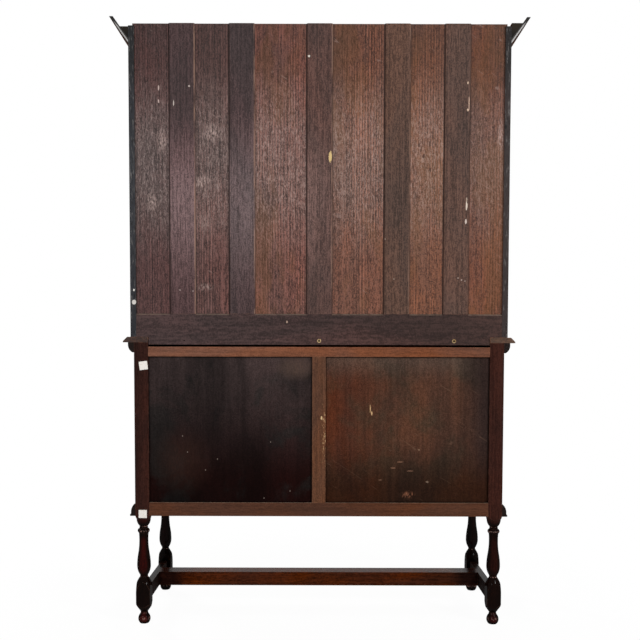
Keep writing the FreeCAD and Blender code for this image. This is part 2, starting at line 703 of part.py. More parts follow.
def planted_moulding(label, section, reach, height, x_wall, y_wall, y_end, z_low):
    """Three runs of moulding round the front and sides, mitred where they meet.

    The section gives each corner as its distance out from the wall and its height.
    """
    low = z_low - d.saw_margin
    tall = height + d.saw_margin * 2
    x_mitre = (x_wall - d.saw_margin, x_wall + reach + d.saw_margin)
    y_mitre = (y_wall + d.saw_margin, y_wall - reach - d.saw_margin)
    front_corners = [(y_wall - out, z_low + up, *level) for out, up, *level in section]
    side_corners = [(x_wall + out, z_low + up, *level) for out, up, *level in section]
    front_run = prism(label + "_front_run", "YZ", -x_mitre[1], x_mitre[1] * 2, front_corners)
    side_run = prism(label + "_side_run", "XZ", -y_end, y_end - y_mitre[1], side_corners)
    front_plan = prism(label + "_front_plan", "XY", low, tall,
                       [(-x_mitre[0], y_mitre[0]), (-x_mitre[1], y_mitre[1]),
                        (x_mitre[1], y_mitre[1]), (x_mitre[0], y_mitre[0])])
    side_plan = prism(label + "_side_plan", "XY", low, tall,
                      [(x_mitre[0], y_mitre[0]), (x_mitre[1], y_mitre[1]),
                       (x_mitre[1], y_end), (x_mitre[0], y_end)])
    front_piece = common(label + "_front", front_run, front_plan)
    side_piece = common(label + "_right", side_run, side_plan)
    return front_piece, side_piece


# Moulding under the top: an upright fillet over a quarter round
top_moulding_section = [
    (nothing, nothing),
    (d.top_moulding_heel, nothing),
    (d.top_moulding_reach, d.top_moulding_height - d.top_moulding_fillet, "end"),
    (d.top_moulding_reach, d.top_moulding_height),
    (nothing, d.top_moulding_height),
]
top_moulding = planted_moulding("top_moulding", top_moulding_section, d.top_moulding_reach,
                                d.top_moulding_height, half_width, front, rear,
                                top_underside - d.top_moulding_height)
node("top_moulding", *top_moulding, mirrored("top_moulding_left", top_moulding[1]))

# Moulding round the foot of the base: a hollow over a round, on a square lip
base_round_out = d.base_moulding_reach - d.base_moulding_crown
base_moulding_section = [
    (nothing, nothing),
    (d.base_moulding_reach, nothing),
    (d.base_moulding_reach, d.base_moulding_lip),
    (base_round_out, d.base_moulding_lip),
    (base_round_out, d.base_moulding_waist),
    (d.base_moulding_crown, d.base_moulding_height, "start"),
    (nothing, d.base_moulding_height),
]
base_moulding = planted_moulding("base_moulding", base_moulding_section, d.base_moulding_reach,
                                 d.base_moulding_height, half_width, front, rear, d.carcass_bottom)
node("base_moulding", *base_moulding, mirrored("base_moulding_left", base_moulding[1]))

# Rack shelves with a groove for plates, roof board and frieze
shelf_x = rack_inner + d.rack_housing
shelf_y = (rack_front + d.shelf_setback, muntin_y[0])
plate_groove_y = about(muntin_y[0] - d.plate_groove_inset, d.plate_groove_width)


def shelf(label, underside):
    z = (underside, underside + d.shelf_thickness)
    groove = board(label + "_groove", (-rack_inner, rack_inner), plate_groove_y,
                   (z[1] - d.plate_groove_depth, z[1]))
    blank = board(label + "_board", (-shelf_x, shelf_x), shelf_y, z)
    return cut(label, blank, groove), blank


lower_underside = d.base_height + d.lower_shelf_rise
lower_shelf, lower_housing = shelf("rack_shelf_lower", lower_underside)
upper_shelf, upper_housing = shelf("rack_shelf_upper", lower_underside + d.shelf_spacing)
roof_z = (rack_side_top - d.roof_thickness, rack_side_top)
rack_roof = board("rack_roof", (-shelf_x, shelf_x), (rack_front, muntin_y[0]), roof_z)
node("rack_shelf_lower", lower_shelf)
node("rack_shelf_upper", upper_shelf)
node("rack_roof", rack_roof)
frieze_y = (rack_front, rack_front + d.frieze_thickness)
node("rack_frieze", board("rack_frieze", (-rack_inner, rack_inner), frieze_y,
                          (roof_z[0] - d.frieze_height, roof_z[0])))

# Rack sides: boards that stand on the base top and hold the shelves in housings
rack_side_blank = board("rack_side_blank", (rack_inner, rack_half), (rack_front, rear),
                        (d.base_height, rack_side_top))
pair("rack_side_SIDE", cut("rack_side_right", rack_side_blank, lower_housing, upper_housing, rack_roof,
                           rack_rail_tenon, *rack_panels))

# Cornice: thin boards that splay out from the frieze and the sides, with glue blocks behind them
cornice_foot = rack_side_top - d.cornice_drop
splay = d.cornice_height / d.cornice_reach
heel = d.cornice_thickness * splay
cornice_section = [
    (nothing, nothing),
    (d.cornice_reach, d.cornice_height),
    (d.cornice_reach - d.cornice_thickness, d.cornice_height),
    (nothing, heel),
]
cornice = planted_moulding("cornice", cornice_section, d.cornice_reach, d.cornice_height, rack_half,
                           rack_front, rear, cornice_foot)
node("cornice_front", cornice[0])
pair("cornice_SIDE", cornice[1])


def glue_block(label, plane, offset, wall, drop):
    """A three-cornered block between an upright wall and the board that leans out from its foot."""
    foot = cornice_foot + heel
    top = cornice_foot + d.cornice_height - drop
    reach = (top - foot) / splay
    tip = wall + reach if plane == "XZ" else wall - reach
    return prism(label, plane, offset, d.glue_block_length, [(wall, foot), (tip, top), (wall, top)])


left_block = glue_block("left_block", "XZ", -rear, rack_half, d.left_block_drop)
glue_blocks = [glue_block("side_block_right", "XZ", -rear, rack_half, d.glue_block_drop),
               mirrored("side_block_left", left_block)]
for name, x in (("left", -d.glue_block_spacing), ("centre", nothing), ("right", d.glue_block_spacing)):
    glue_blocks.append(glue_block(f"front_block_{name}", "YZ", x - d.glue_block_length / 2, rack_front,
                                  d.glue_block_drop))
node("cornice_blocks", *glue_blocks)


def mitred_frame(label, x, z, face, rise, lip):
    """Four quarter-round strips planted on an upright face, mitred at the corners that x and z give."""
    width = lip + rise
    inner_x = (x[0] + width, x[1] - width)
    inner_z = (z[0] + width, z[1] - width)
    proud = face - rise
    runs = {}
    for name, edge, lipped, inner in (("bottom", z[0], z[0] + lip, inner_z[0]),
                                      ("top", z[1], z[1] - lip, inner_z[1])):
        section = [(face, edge), (proud, edge), (proud, lipped), (face, inner, "start")]
        runs[name] = prism(f"{label}_{name}_run", "YZ", x[0], x[1] - x[0], section)
    for name, edge, lipped, inner in (("low", x[0], x[0] + lip, inner_x[0]),
                                      ("high", x[1], x[1] - lip, inner_x[1])):
        section = [(edge, face), (edge, proud), (lipped, proud), (inner, face, "end")]
        runs[name] = prism(f"{label}_{name}_run", "XY", z[0], z[1] - z[0], section)
    plans = {"bottom": [(x[0], z[0]), (x[1], z[0]), (inner_x[1], inner_z[0]), (inner_x[0], inner_z[0])],
             "top": [(x[0], z[1]), (x[1], z[1]), (inner_x[1], inner_z[1]), (inner_x[0], inner_z[1])],
             "low": [(x[0], z[0]), (x[0], z[1]), (inner_x[0], inner_z[1]), (inner_x[0], inner_z[0])],
             "high": [(x[1], z[0]), (x[1], z[1]), (inner_x[1], inner_z[1]), (inner_x[1], inner_z[0])]}
    strips = []
    for name, corners in plans.items():
        plan = prism(f"{label}_{name}_plan", "XZ", -face, rise, corners)
        strips.append(common(f"{label}_{name}", runs[name], plan))
    return strips


# Drawers: each a front with a planted bead and a box behind it, whose bottom lies in grooves
bay_x = (divider_x[1], post_inner)
drawer_x = (bay_x[0] + d.drawer_gap, bay_x[1] - d.drawer_gap)
drawer_front_y = (front, front + d.drawer_front_thickness)
drawer_front_z = (drawer_floor + d.drawer_gap, front_top_z[0] - d.drawer_gap)
box_y = (drawer_front_y[1], back_y[0] - d.drawer_back_gap)
box_z = (drawer_floor + d.runner_play, drawer_floor + d.runner_play + d.drawer_box_height)
bottom_z = (box_z[0] + d.drawer_bottom_rise, box_z[0] + d.drawer_bottom_rise + d.drawer_bottom_thickness)
box_inner_x = (drawer_x[0] + d.drawer_side_thickness, drawer_x[1] - d.drawer_side_thickness)
drawer_bottom = board("drawer_bottom", (box_inner_x[0] - d.drawer_groove, box_inner_x[1] + d.drawer_groove),
                      (box_y[0] - d.drawer_groove, box_y[1]), bottom_z)
drawer_back = board("drawer_back", box_inner_x, (box_y[1] - d.drawer_side_thickness, box_y[1]),
                    (bottom_z[1], box_z[1]))
drawer_box_pieces = [drawer_back, drawer_bottom]
for name, x in (("inner", (drawer_x[0], box_inner_x[0])), ("outer", (box_inner_x[1], drawer_x[1]))):
    side_board = board(f"drawer_{name}_board", x, box_y, box_z)
    drawer_box_pieces.append(cut(f"drawer_{name}_side", side_board, drawer_bottom))
drawer_box = doc.addObject("Part::Compound", "drawer_box")
drawer_box.Links = drawer_box_pieces
bead_x = (drawer_x[0] + d.drawer_bead_inset, drawer_x[1] - d.drawer_bead_inset)
bead_z = (drawer_front_z[0] + d.drawer_bead_inset, drawer_front_z[1] - d.drawer_bead_inset)
drawer_bead = mitred_frame("drawer_bead", bead_x, bead_z, front, d.drawer_bead_rise, d.drawer_bead_lip)
drawer_front_blank = board("drawer_front_blank", drawer_x, drawer_front_y, drawer_front_z)
drawer_front = doc.addObject("Part::Compound", "drawer_front")
drawer_front.Links = [cut("drawer_front_board", drawer_front_blank, drawer_bottom), *drawer_bead]
pair("drawer_SIDE_front", drawer_front)
pair("drawer_SIDE_box", drawer_box)

# Doors: two stiles and two rails round a panel, all in one groove, with a bead round the panel
hinge_edge = post_inner - d.hinge_leaf_thickness * 2 - d.hinge_play
door_x = (bay_x[0] + d.door_gap, hinge_edge)
door_y = (front, front + d.door_thickness)
door_z = (front_bottom_z[1] + d.door_gap, drawer_rail_z[0] - d.door_gap)
door_inner_x = (door_x[0] + d.door_stile_width, door_x[1] - d.door_stile_width)
door_inner_z = (door_z[0] + d.door_stile_width, door_z[1] - d.door_stile_width)
door_panel_y = about((door_y[0] + door_y[1]) / 2, d.door_panel_thickness)
door_tongue_x = (door_inner_x[0] - d.door_groove, door_inner_x[1] + d.door_groove)
door_panel = board("door_panel", door_tongue_x, door_panel_y,
                   (door_inner_z[0] - d.door_groove, door_inner_z[1] + d.door_groove))
door_rails = {"bottom": (door_z[0], door_inner_z[0]), "top": (door_inner_z[1], door_z[1])}
door_tongue_z = {"bottom": (door_z[0] + d.tenon_shoulder, door_inner_z[0] - d.door_groove),
                 "top": (door_inner_z[1] + d.door_groove, door_z[1] - d.tenon_shoulder)}
door_tongues = []
door_frame_pieces = []
for name, z in door_rails.items():
    tongue = board(f"door_{name}_tongue", door_tongue_x, door_panel_y, door_tongue_z[name])
    rail = joined(f"door_{name}_tongued", board(f"door_{name}_blank", door_inner_x, door_y, z), tongue)
    door_frame_pieces.append(cut(f"door_{name}_rail", rail, door_panel))
    door_tongues.append(tongue)
for name, x in (("inner", (door_x[0], door_inner_x[0])), ("outer", (door_inner_x[1], door_x[1]))):
    blank = board(f"door_{name}_blank", x, door_y, door_z)
    door_frame_pieces.append(cut(f"door_{name}_stile", blank, door_panel, *door_tongues))
door_bead = mitred_frame("door_bead", door_inner_x, door_inner_z, door_panel_y[0], d.door_bead_rise,
                         d.door_bead_lip)
door_frame = doc.addObject("Part::Compound", "door_frame")
door_frame.Links = [*door_frame_pieces, *door_bead]
pair("door_SIDE_frame", door_frame)
pair("door_SIDE_panel", door_panel)

# Butt hinges: a fixed leaf on the post, a moving leaf on the door's edge, and a pin through both
KNUCKLE_COUNT = 3
pin_x = post_inner - d.hinge_leaf_thickness - d.hinge_play / 2
pin_y = front - d.knuckle_radius - d.hinge_play
leaf_y = (front, front + d.hinge_leaf_width)
knuckle_height = d.hinge_height / KNUCKLE_COUNT
fixed_leaf_x = (post_inner - d.hinge_leaf_thickness, post_inner)
moving_leaf_x = (hinge_edge, hinge_edge + d.hinge_leaf_thickness)


def hinge_leaf(label, x, z, knuckles):
    """A leaf with its knuckles: knuckles holds the low and high plane of each."""
    shapes = [board(label + "_leaf", x, leaf_y, z)]
    for index, (low, high) in enumerate(knuckles):
        shapes.append(rod(f"{label}_knuckle_{index}", "Z", d.knuckle_radius, high - low, pin_x, pin_y, low))
        shapes.append(board(f"{label}_neck_{index}", x, (pin_y, leaf_y[0]), (low, high)))
    bore = rod(label + "_bore", "Z", d.hinge_pin_radius + d.pin_play, d.hinge_height, pin_x, pin_y, z[0])
    return cut(label, joined(label + "_solid", *shapes), bore)


fixed_leaves = []
moving_leaves = []
hinge_pins = []
hinge_feet = {"lower": door_z[0] + d.hinge_inset, "upper": door_z[1] - d.hinge_inset - d.hinge_height}
for name, foot in hinge_feet.items():
    z = (foot, foot + d.hinge_height)
    outer_knuckles = [(z[0], z[0] + knuckle_height), (z[1] - knuckle_height, z[1])]
    middle_knuckle = [(outer_knuckles[0][1] + d.hinge_play, outer_knuckles[1][0] - d.hinge_play)]
    fixed_leaves.append(hinge_leaf(f"{name}_fixed_leaf", fixed_leaf_x, z, outer_knuckles))
    moving_leaves.append(hinge_leaf(f"{name}_moving_leaf", moving_leaf_x, z, middle_knuckle))
    hinge_pins.append(rod(f"{name}_hinge_pin", "Z", d.hinge_pin_radius, d.hinge_height, pin_x, pin_y, foot))
node("hinge_fixed_leaves", *fixed_leaves, *[mirrored(leaf.Name + "_left", leaf) for leaf in fixed_leaves])
node("hinge_pins", *hinge_pins, *[mirrored(pin.Name + "_left", pin) for pin in hinge_pins])
hinge_set = doc.addObject("Part::Compound", "moving_leaves")
hinge_set.Links = moving_leaves
pair("door_SIDE_hinges", hinge_set)

# Drop handles: an almond-shaped plate with a forked stud, and a pear drop that swings on its pin
plate_half_width = d.plate_width / 2
plate_half_height = d.plate_height / 2
pin_reach = d.stud_radius - d.hinge_play


def handle_plate(label, x, z):
    """A plate on the front face at x and z, with the stud and cross pin that carry the drop."""
    plate = prism(label + "_plate", "XZ", -front, d.plate_thickness,
                  [(x + plate_half_width, z, "end"), (x, z + plate_half_height, "start"),
                   (x - plate_half_width, z, "end"), (x, z - plate_half_height, "start")])
    stud = rod(label + "_stud", "-Y", d.stud_radius, d.stud_length, x, front, z)
    pivot_y = front - d.pivot_out
    slot = board(label + "_slot", about(x, d.slot_width), (front - d.stud_length, pivot_y + d.slot_depth),
                 about(z, d.stud_radius * 2))
    pin = rod(label + "_pin", "X", d.handle_pin_radius, pin_reach * 2, x - pin_reach, pivot_y, z)
    return joined(label, plate, cut(label + "_fork", stud, slot), pin)


def handle_drop(label, x, z):
    """A pear-shaped drop turned in brass, with a flat tab that turns on the cross pin."""
    pear = turned(label + "_pear", [
        (nothing, -d.drop_length),
        (d.drop_tip_radius, -d.drop_length),
        (d.drop_radius, -d.drop_widest, "end"),
        (d.drop_neck_radius, -d.drop_neck, "start"),
        (nothing, -d.drop_neck)])
    pivot_y = front - d.pivot_out
    place(pear, x, pivot_y, z)
    tab = board(label + "_tab", about(x, d.tab_thickness), about(pivot_y, d.tab_width),
                (z - d.drop_neck, z + d.tab_top))
    eye_radius = d.handle_pin_radius + d.pin_play
    eye = rod(label + "_eye", "X", eye_radius, d.tab_thickness * 2, x - d.tab_thickness, pivot_y, z)
    return cut(label, joined(label + "_solid", pear, tab), eye)


drawer_handle_at = ((bay_x[0] + bay_x[1]) / 2, (drawer_front_z[0] + drawer_front_z[1]) / 2 + d.handle_lift)
door_handle_at = (door_x[0] + d.door_stile_width / 2, (door_z[0] + door_z[1]) / 2 + d.handle_lift)
for owner, at in (("drawer", drawer_handle_at), ("door", door_handle_at)):
    pair(owner + "_SIDE_plate", handle_plate(owner + "_right_plate", *at))
    pair(owner + "_SIDE_drop", handle_drop(owner + "_right_drop", *at))

# Every feature has to be sound before any piece is written
doc.recompute()
failed = [thing.Label for thing in doc.Objects if {"Invalid", "Error"} & set(thing.State)]
failed += [piece.Label for piece in nodes if piece.Shape.isNull() or not piece.Shape.isValid()]
if failed:
    raise RuntimeError("these did not build: " + ", ".join(failed))
os.makedirs("parts", exist_ok=True)
for piece in nodes:
    piece.Shape.exportStep(f"parts/{piece.Label}.step")
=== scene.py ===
import math

import bpy
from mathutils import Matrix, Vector


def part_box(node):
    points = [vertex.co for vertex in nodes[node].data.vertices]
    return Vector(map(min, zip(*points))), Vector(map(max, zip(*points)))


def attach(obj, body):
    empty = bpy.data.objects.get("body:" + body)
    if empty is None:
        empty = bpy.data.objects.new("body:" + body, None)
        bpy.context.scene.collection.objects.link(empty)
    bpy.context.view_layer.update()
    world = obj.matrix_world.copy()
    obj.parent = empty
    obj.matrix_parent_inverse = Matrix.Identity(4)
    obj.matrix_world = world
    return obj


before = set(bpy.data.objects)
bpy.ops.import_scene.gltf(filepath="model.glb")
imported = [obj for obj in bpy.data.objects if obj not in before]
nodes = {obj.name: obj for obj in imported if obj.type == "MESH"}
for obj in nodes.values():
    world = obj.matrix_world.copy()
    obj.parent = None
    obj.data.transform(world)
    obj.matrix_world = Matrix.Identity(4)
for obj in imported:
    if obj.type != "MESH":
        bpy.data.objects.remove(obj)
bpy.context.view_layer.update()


# Legs and stretchers: square oak posts, turned on the lathe below the carcass, stained almost black
# and polished with shellac. The side stretchers are tenoned into the blocks of the legs, and the
# broad cross stretcher is tenoned into the side stretchers.
def tone(red, green, blue):
    """A colour as a painter would read it off the piece, 0 to 255, for a shader socket."""
    parts = [part / 255 for part in (red, green, blue)]
    return (*(part / 12.92 if part <= 0.04045 else ((part + 0.055) / 1.055) ** 2.4 for part in parts), 1)


class Finish:
    """A finish that is built up in layers, on the piece's own metres."""

    def __init__(self, name, shine):
        self.material = bpy.data.materials.new(name)
        self.material.use_nodes = True
        self.tree = self.material.node_tree
        self.shader = self.tree.nodes["Principled BSDF"]
        self.shader.inputs["Specular IOR Level"].default_value = shine
        self.place = self.step("TexCoord").outputs["Object"]

    def step(self, kind, inputs=None, **settings):
        """One more node of the finish, with its sockets set or linked."""
        node = self.tree.nodes.new("ShaderNode" + kind)
        for setting, value in settings.items():
            setattr(node, setting, value)
        for socket, value in (inputs or {}).items():
            if isinstance(value, bpy.types.NodeSocket):
                self.tree.links.new(value, node.inputs[socket])
            else:
                node.inputs[socket].default_value = value
        return node

    def noise(self, scale, detail=3.0, distortion=0.0):
        """Cloudy patches from 0 to 1, with a scale for each axis."""
        spread = self.step("Mapping", {"Vector": self.place, "Scale": scale}).outputs[0]
        return self.step("TexNoise", {"Vector": spread, "Scale": 1.0, "Detail": detail,
                                      "Roughness": 0.62, "Distortion": distortion}).outputs["Fac"]

    def window(self, value, low, high, start=0.0, end=1.0):
        """Where value goes from low to high, an even change from start to end."""
        return self.step("MapRange", {"Value": value, "From Min": low, "From Max": high,
                                      "To Min": start, "To Max": end},
                         interpolation_type="SMOOTHSTEP").outputs["Result"]

    def times(self, first, second):
        return self.step("Math", {0: first, 1: second}, operation="MULTIPLY").outputs[0]

    def line(self, value, slope, start):
        """The value times slope, on top of start."""
        return self.step("Math", {0: value, 1: slope, 2: start}, operation="MULTIPLY_ADD").outputs[0]

    def off(self, value, middle=0.0):
        """How far the value lies from a middle, on either side of it."""
        apart = self.step("Math", {0: value, 1: middle}, operation="SUBTRACT").outputs[0]
        return self.step("Math", {0: apart}, operation="ABSOLUTE").outputs[0]

    def blend(self, amount, under, over):
        return self.step("Mix", {0: amount, 6: under, 7: over}, data_type="RGBA").outputs[2]

    def axis(self, letter):
        return self.step("SeparateXYZ", {0: self.place}).outputs[letter]

    def facing(self, letter):
        """How squarely the surface faces along an axis, from -1 to 1."""
        return self.step("SeparateXYZ", {0: self.step("NewGeometry").outputs["Normal"]}).outputs[letter]

    def paint(self, colour, roughness):
        for socket, value in (("Base Color", colour), ("Roughness", roughness)):
            self.tree.links.new(value, self.shader.inputs[socket])

    def relief(self, height, strength, depth, arris):
        """Grain that can be felt, and arrises softened by use."""
        soft = self.step("Bevel", {"Radius": arris}, samples=4).outputs[0]
        bump = self.step("Bump", {"Strength": strength, "Distance": depth, "Height": height,
                                  "Normal": soft}).outputs[0]
        self.tree.links.new(bump, self.shader.inputs["Normal"])

    def polish(self, weight, roughness):
        """A thin clear film over the whole finish."""
        self.shader.inputs["Coat Weight"].default_value = weight
        self.shader.inputs["Coat Roughness"].default_value = roughness
        return self

    def on(self, *names):
        for name in names:
            nodes[name].data.materials.clear()
            nodes[name].data.materials.append(self.material)


class Oak(Finish):
    """Oak with its grain along one axis: growth streaks, fibres, open pores, ray flecks and stain."""

    def __init__(self, name, along, shine, streak=140.0):
        super().__init__(name, shine)
        self.along = along
        self.streak = streak

    def lie(self, across, lengthwise):
        """The scales of a pattern that is drawn out along the grain."""
        return [lengthwise if letter == self.along else across for letter in "XYZ"]

    def uneven(self, least, most):
        """From least to most, with the broad patches of the wood."""
        return self.window(self.patches, 0.3, 0.7, least, most)

    def grow(self, colour, contrast=0.3, patch=0.12, fleck=0.0, fleck_tone=None, pore=0.3, crevice_dirt_and_shade=0.5,
             speck=0.1, rings=0.0):
        """The wood about a colour. The shares say how far each feature lightens or darkens it."""
        streaks = self.noise(self.lie(self.streak, 3.0), 6.0, 0.3)
        fibres = self.noise(self.lie(self.streak * 1.7, 40.0), 3.0, 0.4)
        speckle = self.noise(self.lie(self.streak * 1.9, 220.0), 2.0, 0.8)
        self.figure = self.line(speckle, 0.36, self.line(fibres, 0.33, self.times(streaks, 0.31)))
        self.patches = self.noise(self.lie(6.0, 2.0), 3.0, 0.6)
        self.pores = self.window(self.noise(self.lie(1000.0, 34.0), 1.0), 0.56, 0.68)
        value = self.times(self.window(self.figure, 0.42, 0.58, 1 - contrast, 1 + contrast),
                           self.uneven(1 - patch, 1 + patch))
        value = self.times(value, self.window(self.pores, 0.0, 1.0, 1.0, 1 - pore))
        value = self.times(value, self.window(self.noise((460.0,) * 3), 0.32, 0.68, 1 - speck, 1 + speck))
        # Painted shade and dirt: darker where nearby surfaces hem the wood in, in corners and joints.
        crevice_occlusion = self.step("AmbientOcclusion", {"Distance": 0.014}, samples=6).outputs["AO"]
        value = self.times(value, self.window(crevice_occlusion, 0.45, 0.92, 1 - crevice_dirt_and_shade, 1.0))
        if rings:
            drawn_out = self.step("Mapping", {"Vector": self.place,
                                              "Scale": self.lie(1.0, 0.05)}).outputs[0]
            years = self.step("TexWave", {"Vector": drawn_out, "Scale": 36.0, "Distortion": 5.0,
                                          "Detail": 2.0, "Detail Scale": 0.5}).outputs["Fac"]
            plain = self.window(self.noise(self.lie(14.0, 1.5), 2.0), 0.4, 0.6)
            ringed = self.window(years, 0.1, 0.9, 1 - rings, 1 + rings)
            value = self.times(value, self.step("Mix", {0: plain, 2: 1.0, 3: ringed}).outputs[0])
        wood = self.step("HueSaturation", {"Color": colour, "Saturation": self.uneven(0.92, 1.08),
                                           "Value": value}).outputs[0]
        if fleck:
            self.rays = self.window(self.noise(self.lie(190.0, 42.0), 2.0, 2.0), 0.5, 0.6)
            wood = self.blend(self.times(self.rays, fleck), wood, fleck_tone)
        return wood

    def rub(self, wood, bare_tone, amount, reach=0.004):
        """Wear along the arrises, where the stain is rubbed through to paler wood."""
        soft = self.step("Bevel", {"Radius": reach}, samples=4).outputs[0]
        flat = self.step("NewGeometry").outputs["Normal"]
        lean = self.step("VectorMath", {0: soft, 1: flat}, operation="DOT_PRODUCT").outputs["Value"]
        touched = self.times(self.window(lean, 0.995, 0.86),
                             self.window(self.noise((38.0,) * 3), 0.42, 0.62))
        return self.blend(self.times(touched, amount), wood, bare_tone)

    def done(self, wood, roughness, felt):
        """The wood with its sheen, and with as much of its grain as can be felt."""
        self.paint(wood, roughness)
        grain = self.step("Math", {0: self.figure, 1: self.pores}, operation="SUBTRACT").outputs[0]
        self.relief(grain, felt, depth=0.0007, arris=0.0012)
        return self


def polished_leg(name, block, vase, foot, *pieces):
    """Black in the hollows, with painted light and shade: red on the faces that turn before and behind,
    black towards the sides.
    """
    # Heights from the floor at which one tone goes over into the next
    ball, vase_foot, waist = (0.042, 0.030), (0.155, 0.19), (0.275, 0.30)
    neck, post = (0.35, 0.335), (0.335, 0.37)
    finish = Oak(name, "Z", shine=0.0)
    height = finish.axis("Z")
    # Painted light: the faces that turn before and behind are lit red, and the sides stay black.
    painted_lit_faces = finish.window(finish.off(finish.facing("Y")), 0.62, 1.0)
    colour = finish.blend(finish.times(finish.window(height, *vase_foot), painted_lit_faces), block, vase)
    hollows = finish.times(finish.window(height, *waist), finish.window(height, *neck))
    colour = finish.blend(hollows, colour, block)
    colour = finish.blend(finish.window(height, *post), colour, tone(48, 26, 21))
    colour = finish.blend(finish.times(finish.window(height, *ball), painted_lit_faces), colour, foot)
    wood = finish.grow(colour, contrast=0.35, patch=0.35, crevice_dirt_and_shade=0.85)
    wood = finish.rub(wood, tone(108, 74, 60), 0.4)
    # Painted highlights where the rings and the foot catch the light: the height of each, and half of its
    # width
    for crest, half in ((0.3125, 0.0032), (0.3275, 0.0022), (0.1585, 0.0022), (0.0355, 0.0022),
                        (0.019, 0.007)):
        broken = finish.window(finish.noise((230.0, 230.0, 60.0), 2.0), 0.52, 0.62, 0.0, 0.6)
        bright = finish.times(finish.window(finish.off(height, crest), half, 0.2 * half), broken)
        wood = finish.blend(bright, wood, tone(168, 132, 122))
    finish.done(wood, finish.uneven(0.4, 0.5), 0.1).polish(0.055, 0.04).on(*pieces)


polished_leg("polished_rear_right_leg_oak", tone(14, 5, 3), tone(42, 8, 6), tone(58, 15, 12),
             "leg_rear_right")
polished_leg("polished_rear_left_leg_oak", tone(14, 5, 3), tone(29, 10, 7), tone(38, 10, 9),
             "leg_rear_left")
polished_leg("polished_front_leg_oak", tone(10, 5, 4), tone(17, 7, 6), tone(15, 7, 6),
             "leg_front_right", "leg_front_left")


def worn_smooth(finish):
    """Feet have polished the top of a stretcher, and its other faces have gone dull."""
    return finish.window(finish.facing("Z"), 0.5, 0.9, 0.8, 0.15)


cross_finish = Oak("rubbed_stretcher_oak", "X", shine=0.014)
# Painted shadow of the legs, darker towards both ends of the stretcher.
painted_leg_shadow = cross_finish.window(cross_finish.off(cross_finish.axis("X")), 0.44, 0.53)
cross_tone = cross_finish.blend(painted_leg_shadow, tone(70, 31, 13), tone(30, 13, 9))
cross_wood = cross_finish.grow(cross_tone, contrast=0.5, patch=0.35)
cross_wood = cross_finish.rub(cross_wood, tone(116, 70, 44), 0.4)
cross_finish.done(cross_wood, worn_smooth(cross_finish), 0.15).on("stretcher_cross")

stretcher_finish = Oak("polished_stretcher_oak", "Y", shine=0.014)
stretcher_wood = stretcher_finish.grow(tone(16, 7, 5), contrast=0.5, patch=0.2)
stretcher_wood = stretcher_finish.rub(stretcher_wood, tone(84, 48, 34), 0.3)
stretcher_finish.done(stretcher_wood, worn_smooth(stretcher_finish), 0.15)
stretcher_finish.on("stretcher_right", "stretcher_left")


# Frame of the base: rails and dividers of the front and sides, mortised and tenoned into the posts,
# in oak stained dark brown and waxed.
carcass_bare = tone(124, 78, 50)
waxed_fleck = tone(104, 66, 45)


def waxed(name, along, colour, fleck=0.25):
    """Stained and waxed oak, worn paler along its arrises."""
    finish = Oak(name, along, shine=0.12)
    wood = finish.grow(colour, contrast=0.3, patch=0.18, fleck=fleck, fleck_tone=waxed_fleck)
    return finish.done(finish.rub(wood, carcass_bare, 0.6), finish.uneven(0.3, 0.46), 0.35)


waxed("waxed_rail_oak", "X", tone(72, 42, 30)).on("front_top_rail", "drawer_rail", "front_bottom_rail")
waxed("waxed_side_rail_oak", "Y", tone(72, 42, 30)).on("side_rails")
waxed("waxed_divider_oak", "Z", tone(70, 41, 30)).on("drawer_divider", "door_divider")


# Side panels of the base: thin quarter-sawn oak, stained and waxed as the frame is, and held loose
# in grooves of the posts and rails so that it can shrink and swell.
waxed("waxed_side_panel_oak", "Z", tone(78, 47, 34), fleck=0.5).on("side_panels")


# Back frame of the base: two rails and a muntin in plainer oak, wiped with thin stain and left dull,
# tenoned into the rear posts. The muntin has lost flakes of its stain along one edge.
wall_plane = 0.248  # Y of the faces at the wall
mark_depth = 0.005  # half of how deep a mark reaches into its face


def dust(finish, wood, amount, steep=0.8):
    """Pale dust on what faces up."""
    settled = finish.window(finish.noise((70.0,) * 3), 0.3, 0.6, 0.4 * amount, amount)
    level = finish.window(finish.facing("Z"), steep - 0.2, steep)
    return finish.blend(finish.times(level, settled), wood, tone(156, 138, 122))


def wiped(finish, colour, contrast=0.26, patch=0.16):
    """Thinly stained oak, rubbed and dusty."""
    wood = finish.grow(colour, contrast=contrast, patch=patch, pore=0.25, crevice_dirt_and_shade=0.6)
    return dust(finish, finish.rub(wood, tone(148, 106, 80), 0.5, reach=0.003), 0.7)


def from_mark(finish, at, size):
    """Distance from the middle of a mark, where 1 is its half size."""
    centred = finish.step("VectorMath", {0: finish.place, 1: at}, operation="SUBTRACT").outputs[0]
    spread = finish.step("VectorMath", {0: centred, 1: [1 / side for side in size]},
                         operation="MULTIPLY").outputs[0]
    return finish.step("VectorMath", {0: spread}, operation="LENGTH").outputs["Value"]


def spot(finish, under, over, at, size, ragged, amount, grit):
    """A mark of that half size, with an edge as ragged as chipped or worn wood."""
    broken = finish.line(finish.noise((grit,) * 3, 4.0), 2 * ragged, from_mark(finish, at, size))
    return finish.blend(finish.window(broken, 0.85 + ragged, 1.1 + ragged, amount, 0.0), under, over)


top_rail_finish = Oak("wiped_top_rail_oak", "X", shine=0.08)
to_right = top_rail_finish.window(top_rail_finish.axis("X"), -0.5, 0.5)
top_rail_tone = top_rail_finish.blend(to_right, tone(104, 63, 44), tone(113, 74, 57))
top_rail_wood = wiped(top_rail_finish, top_rail_tone)
top_rail_finish.done(top_rail_wood, top_rail_finish.uneven(0.5, 0.65), 0.35).on("back_top_rail")

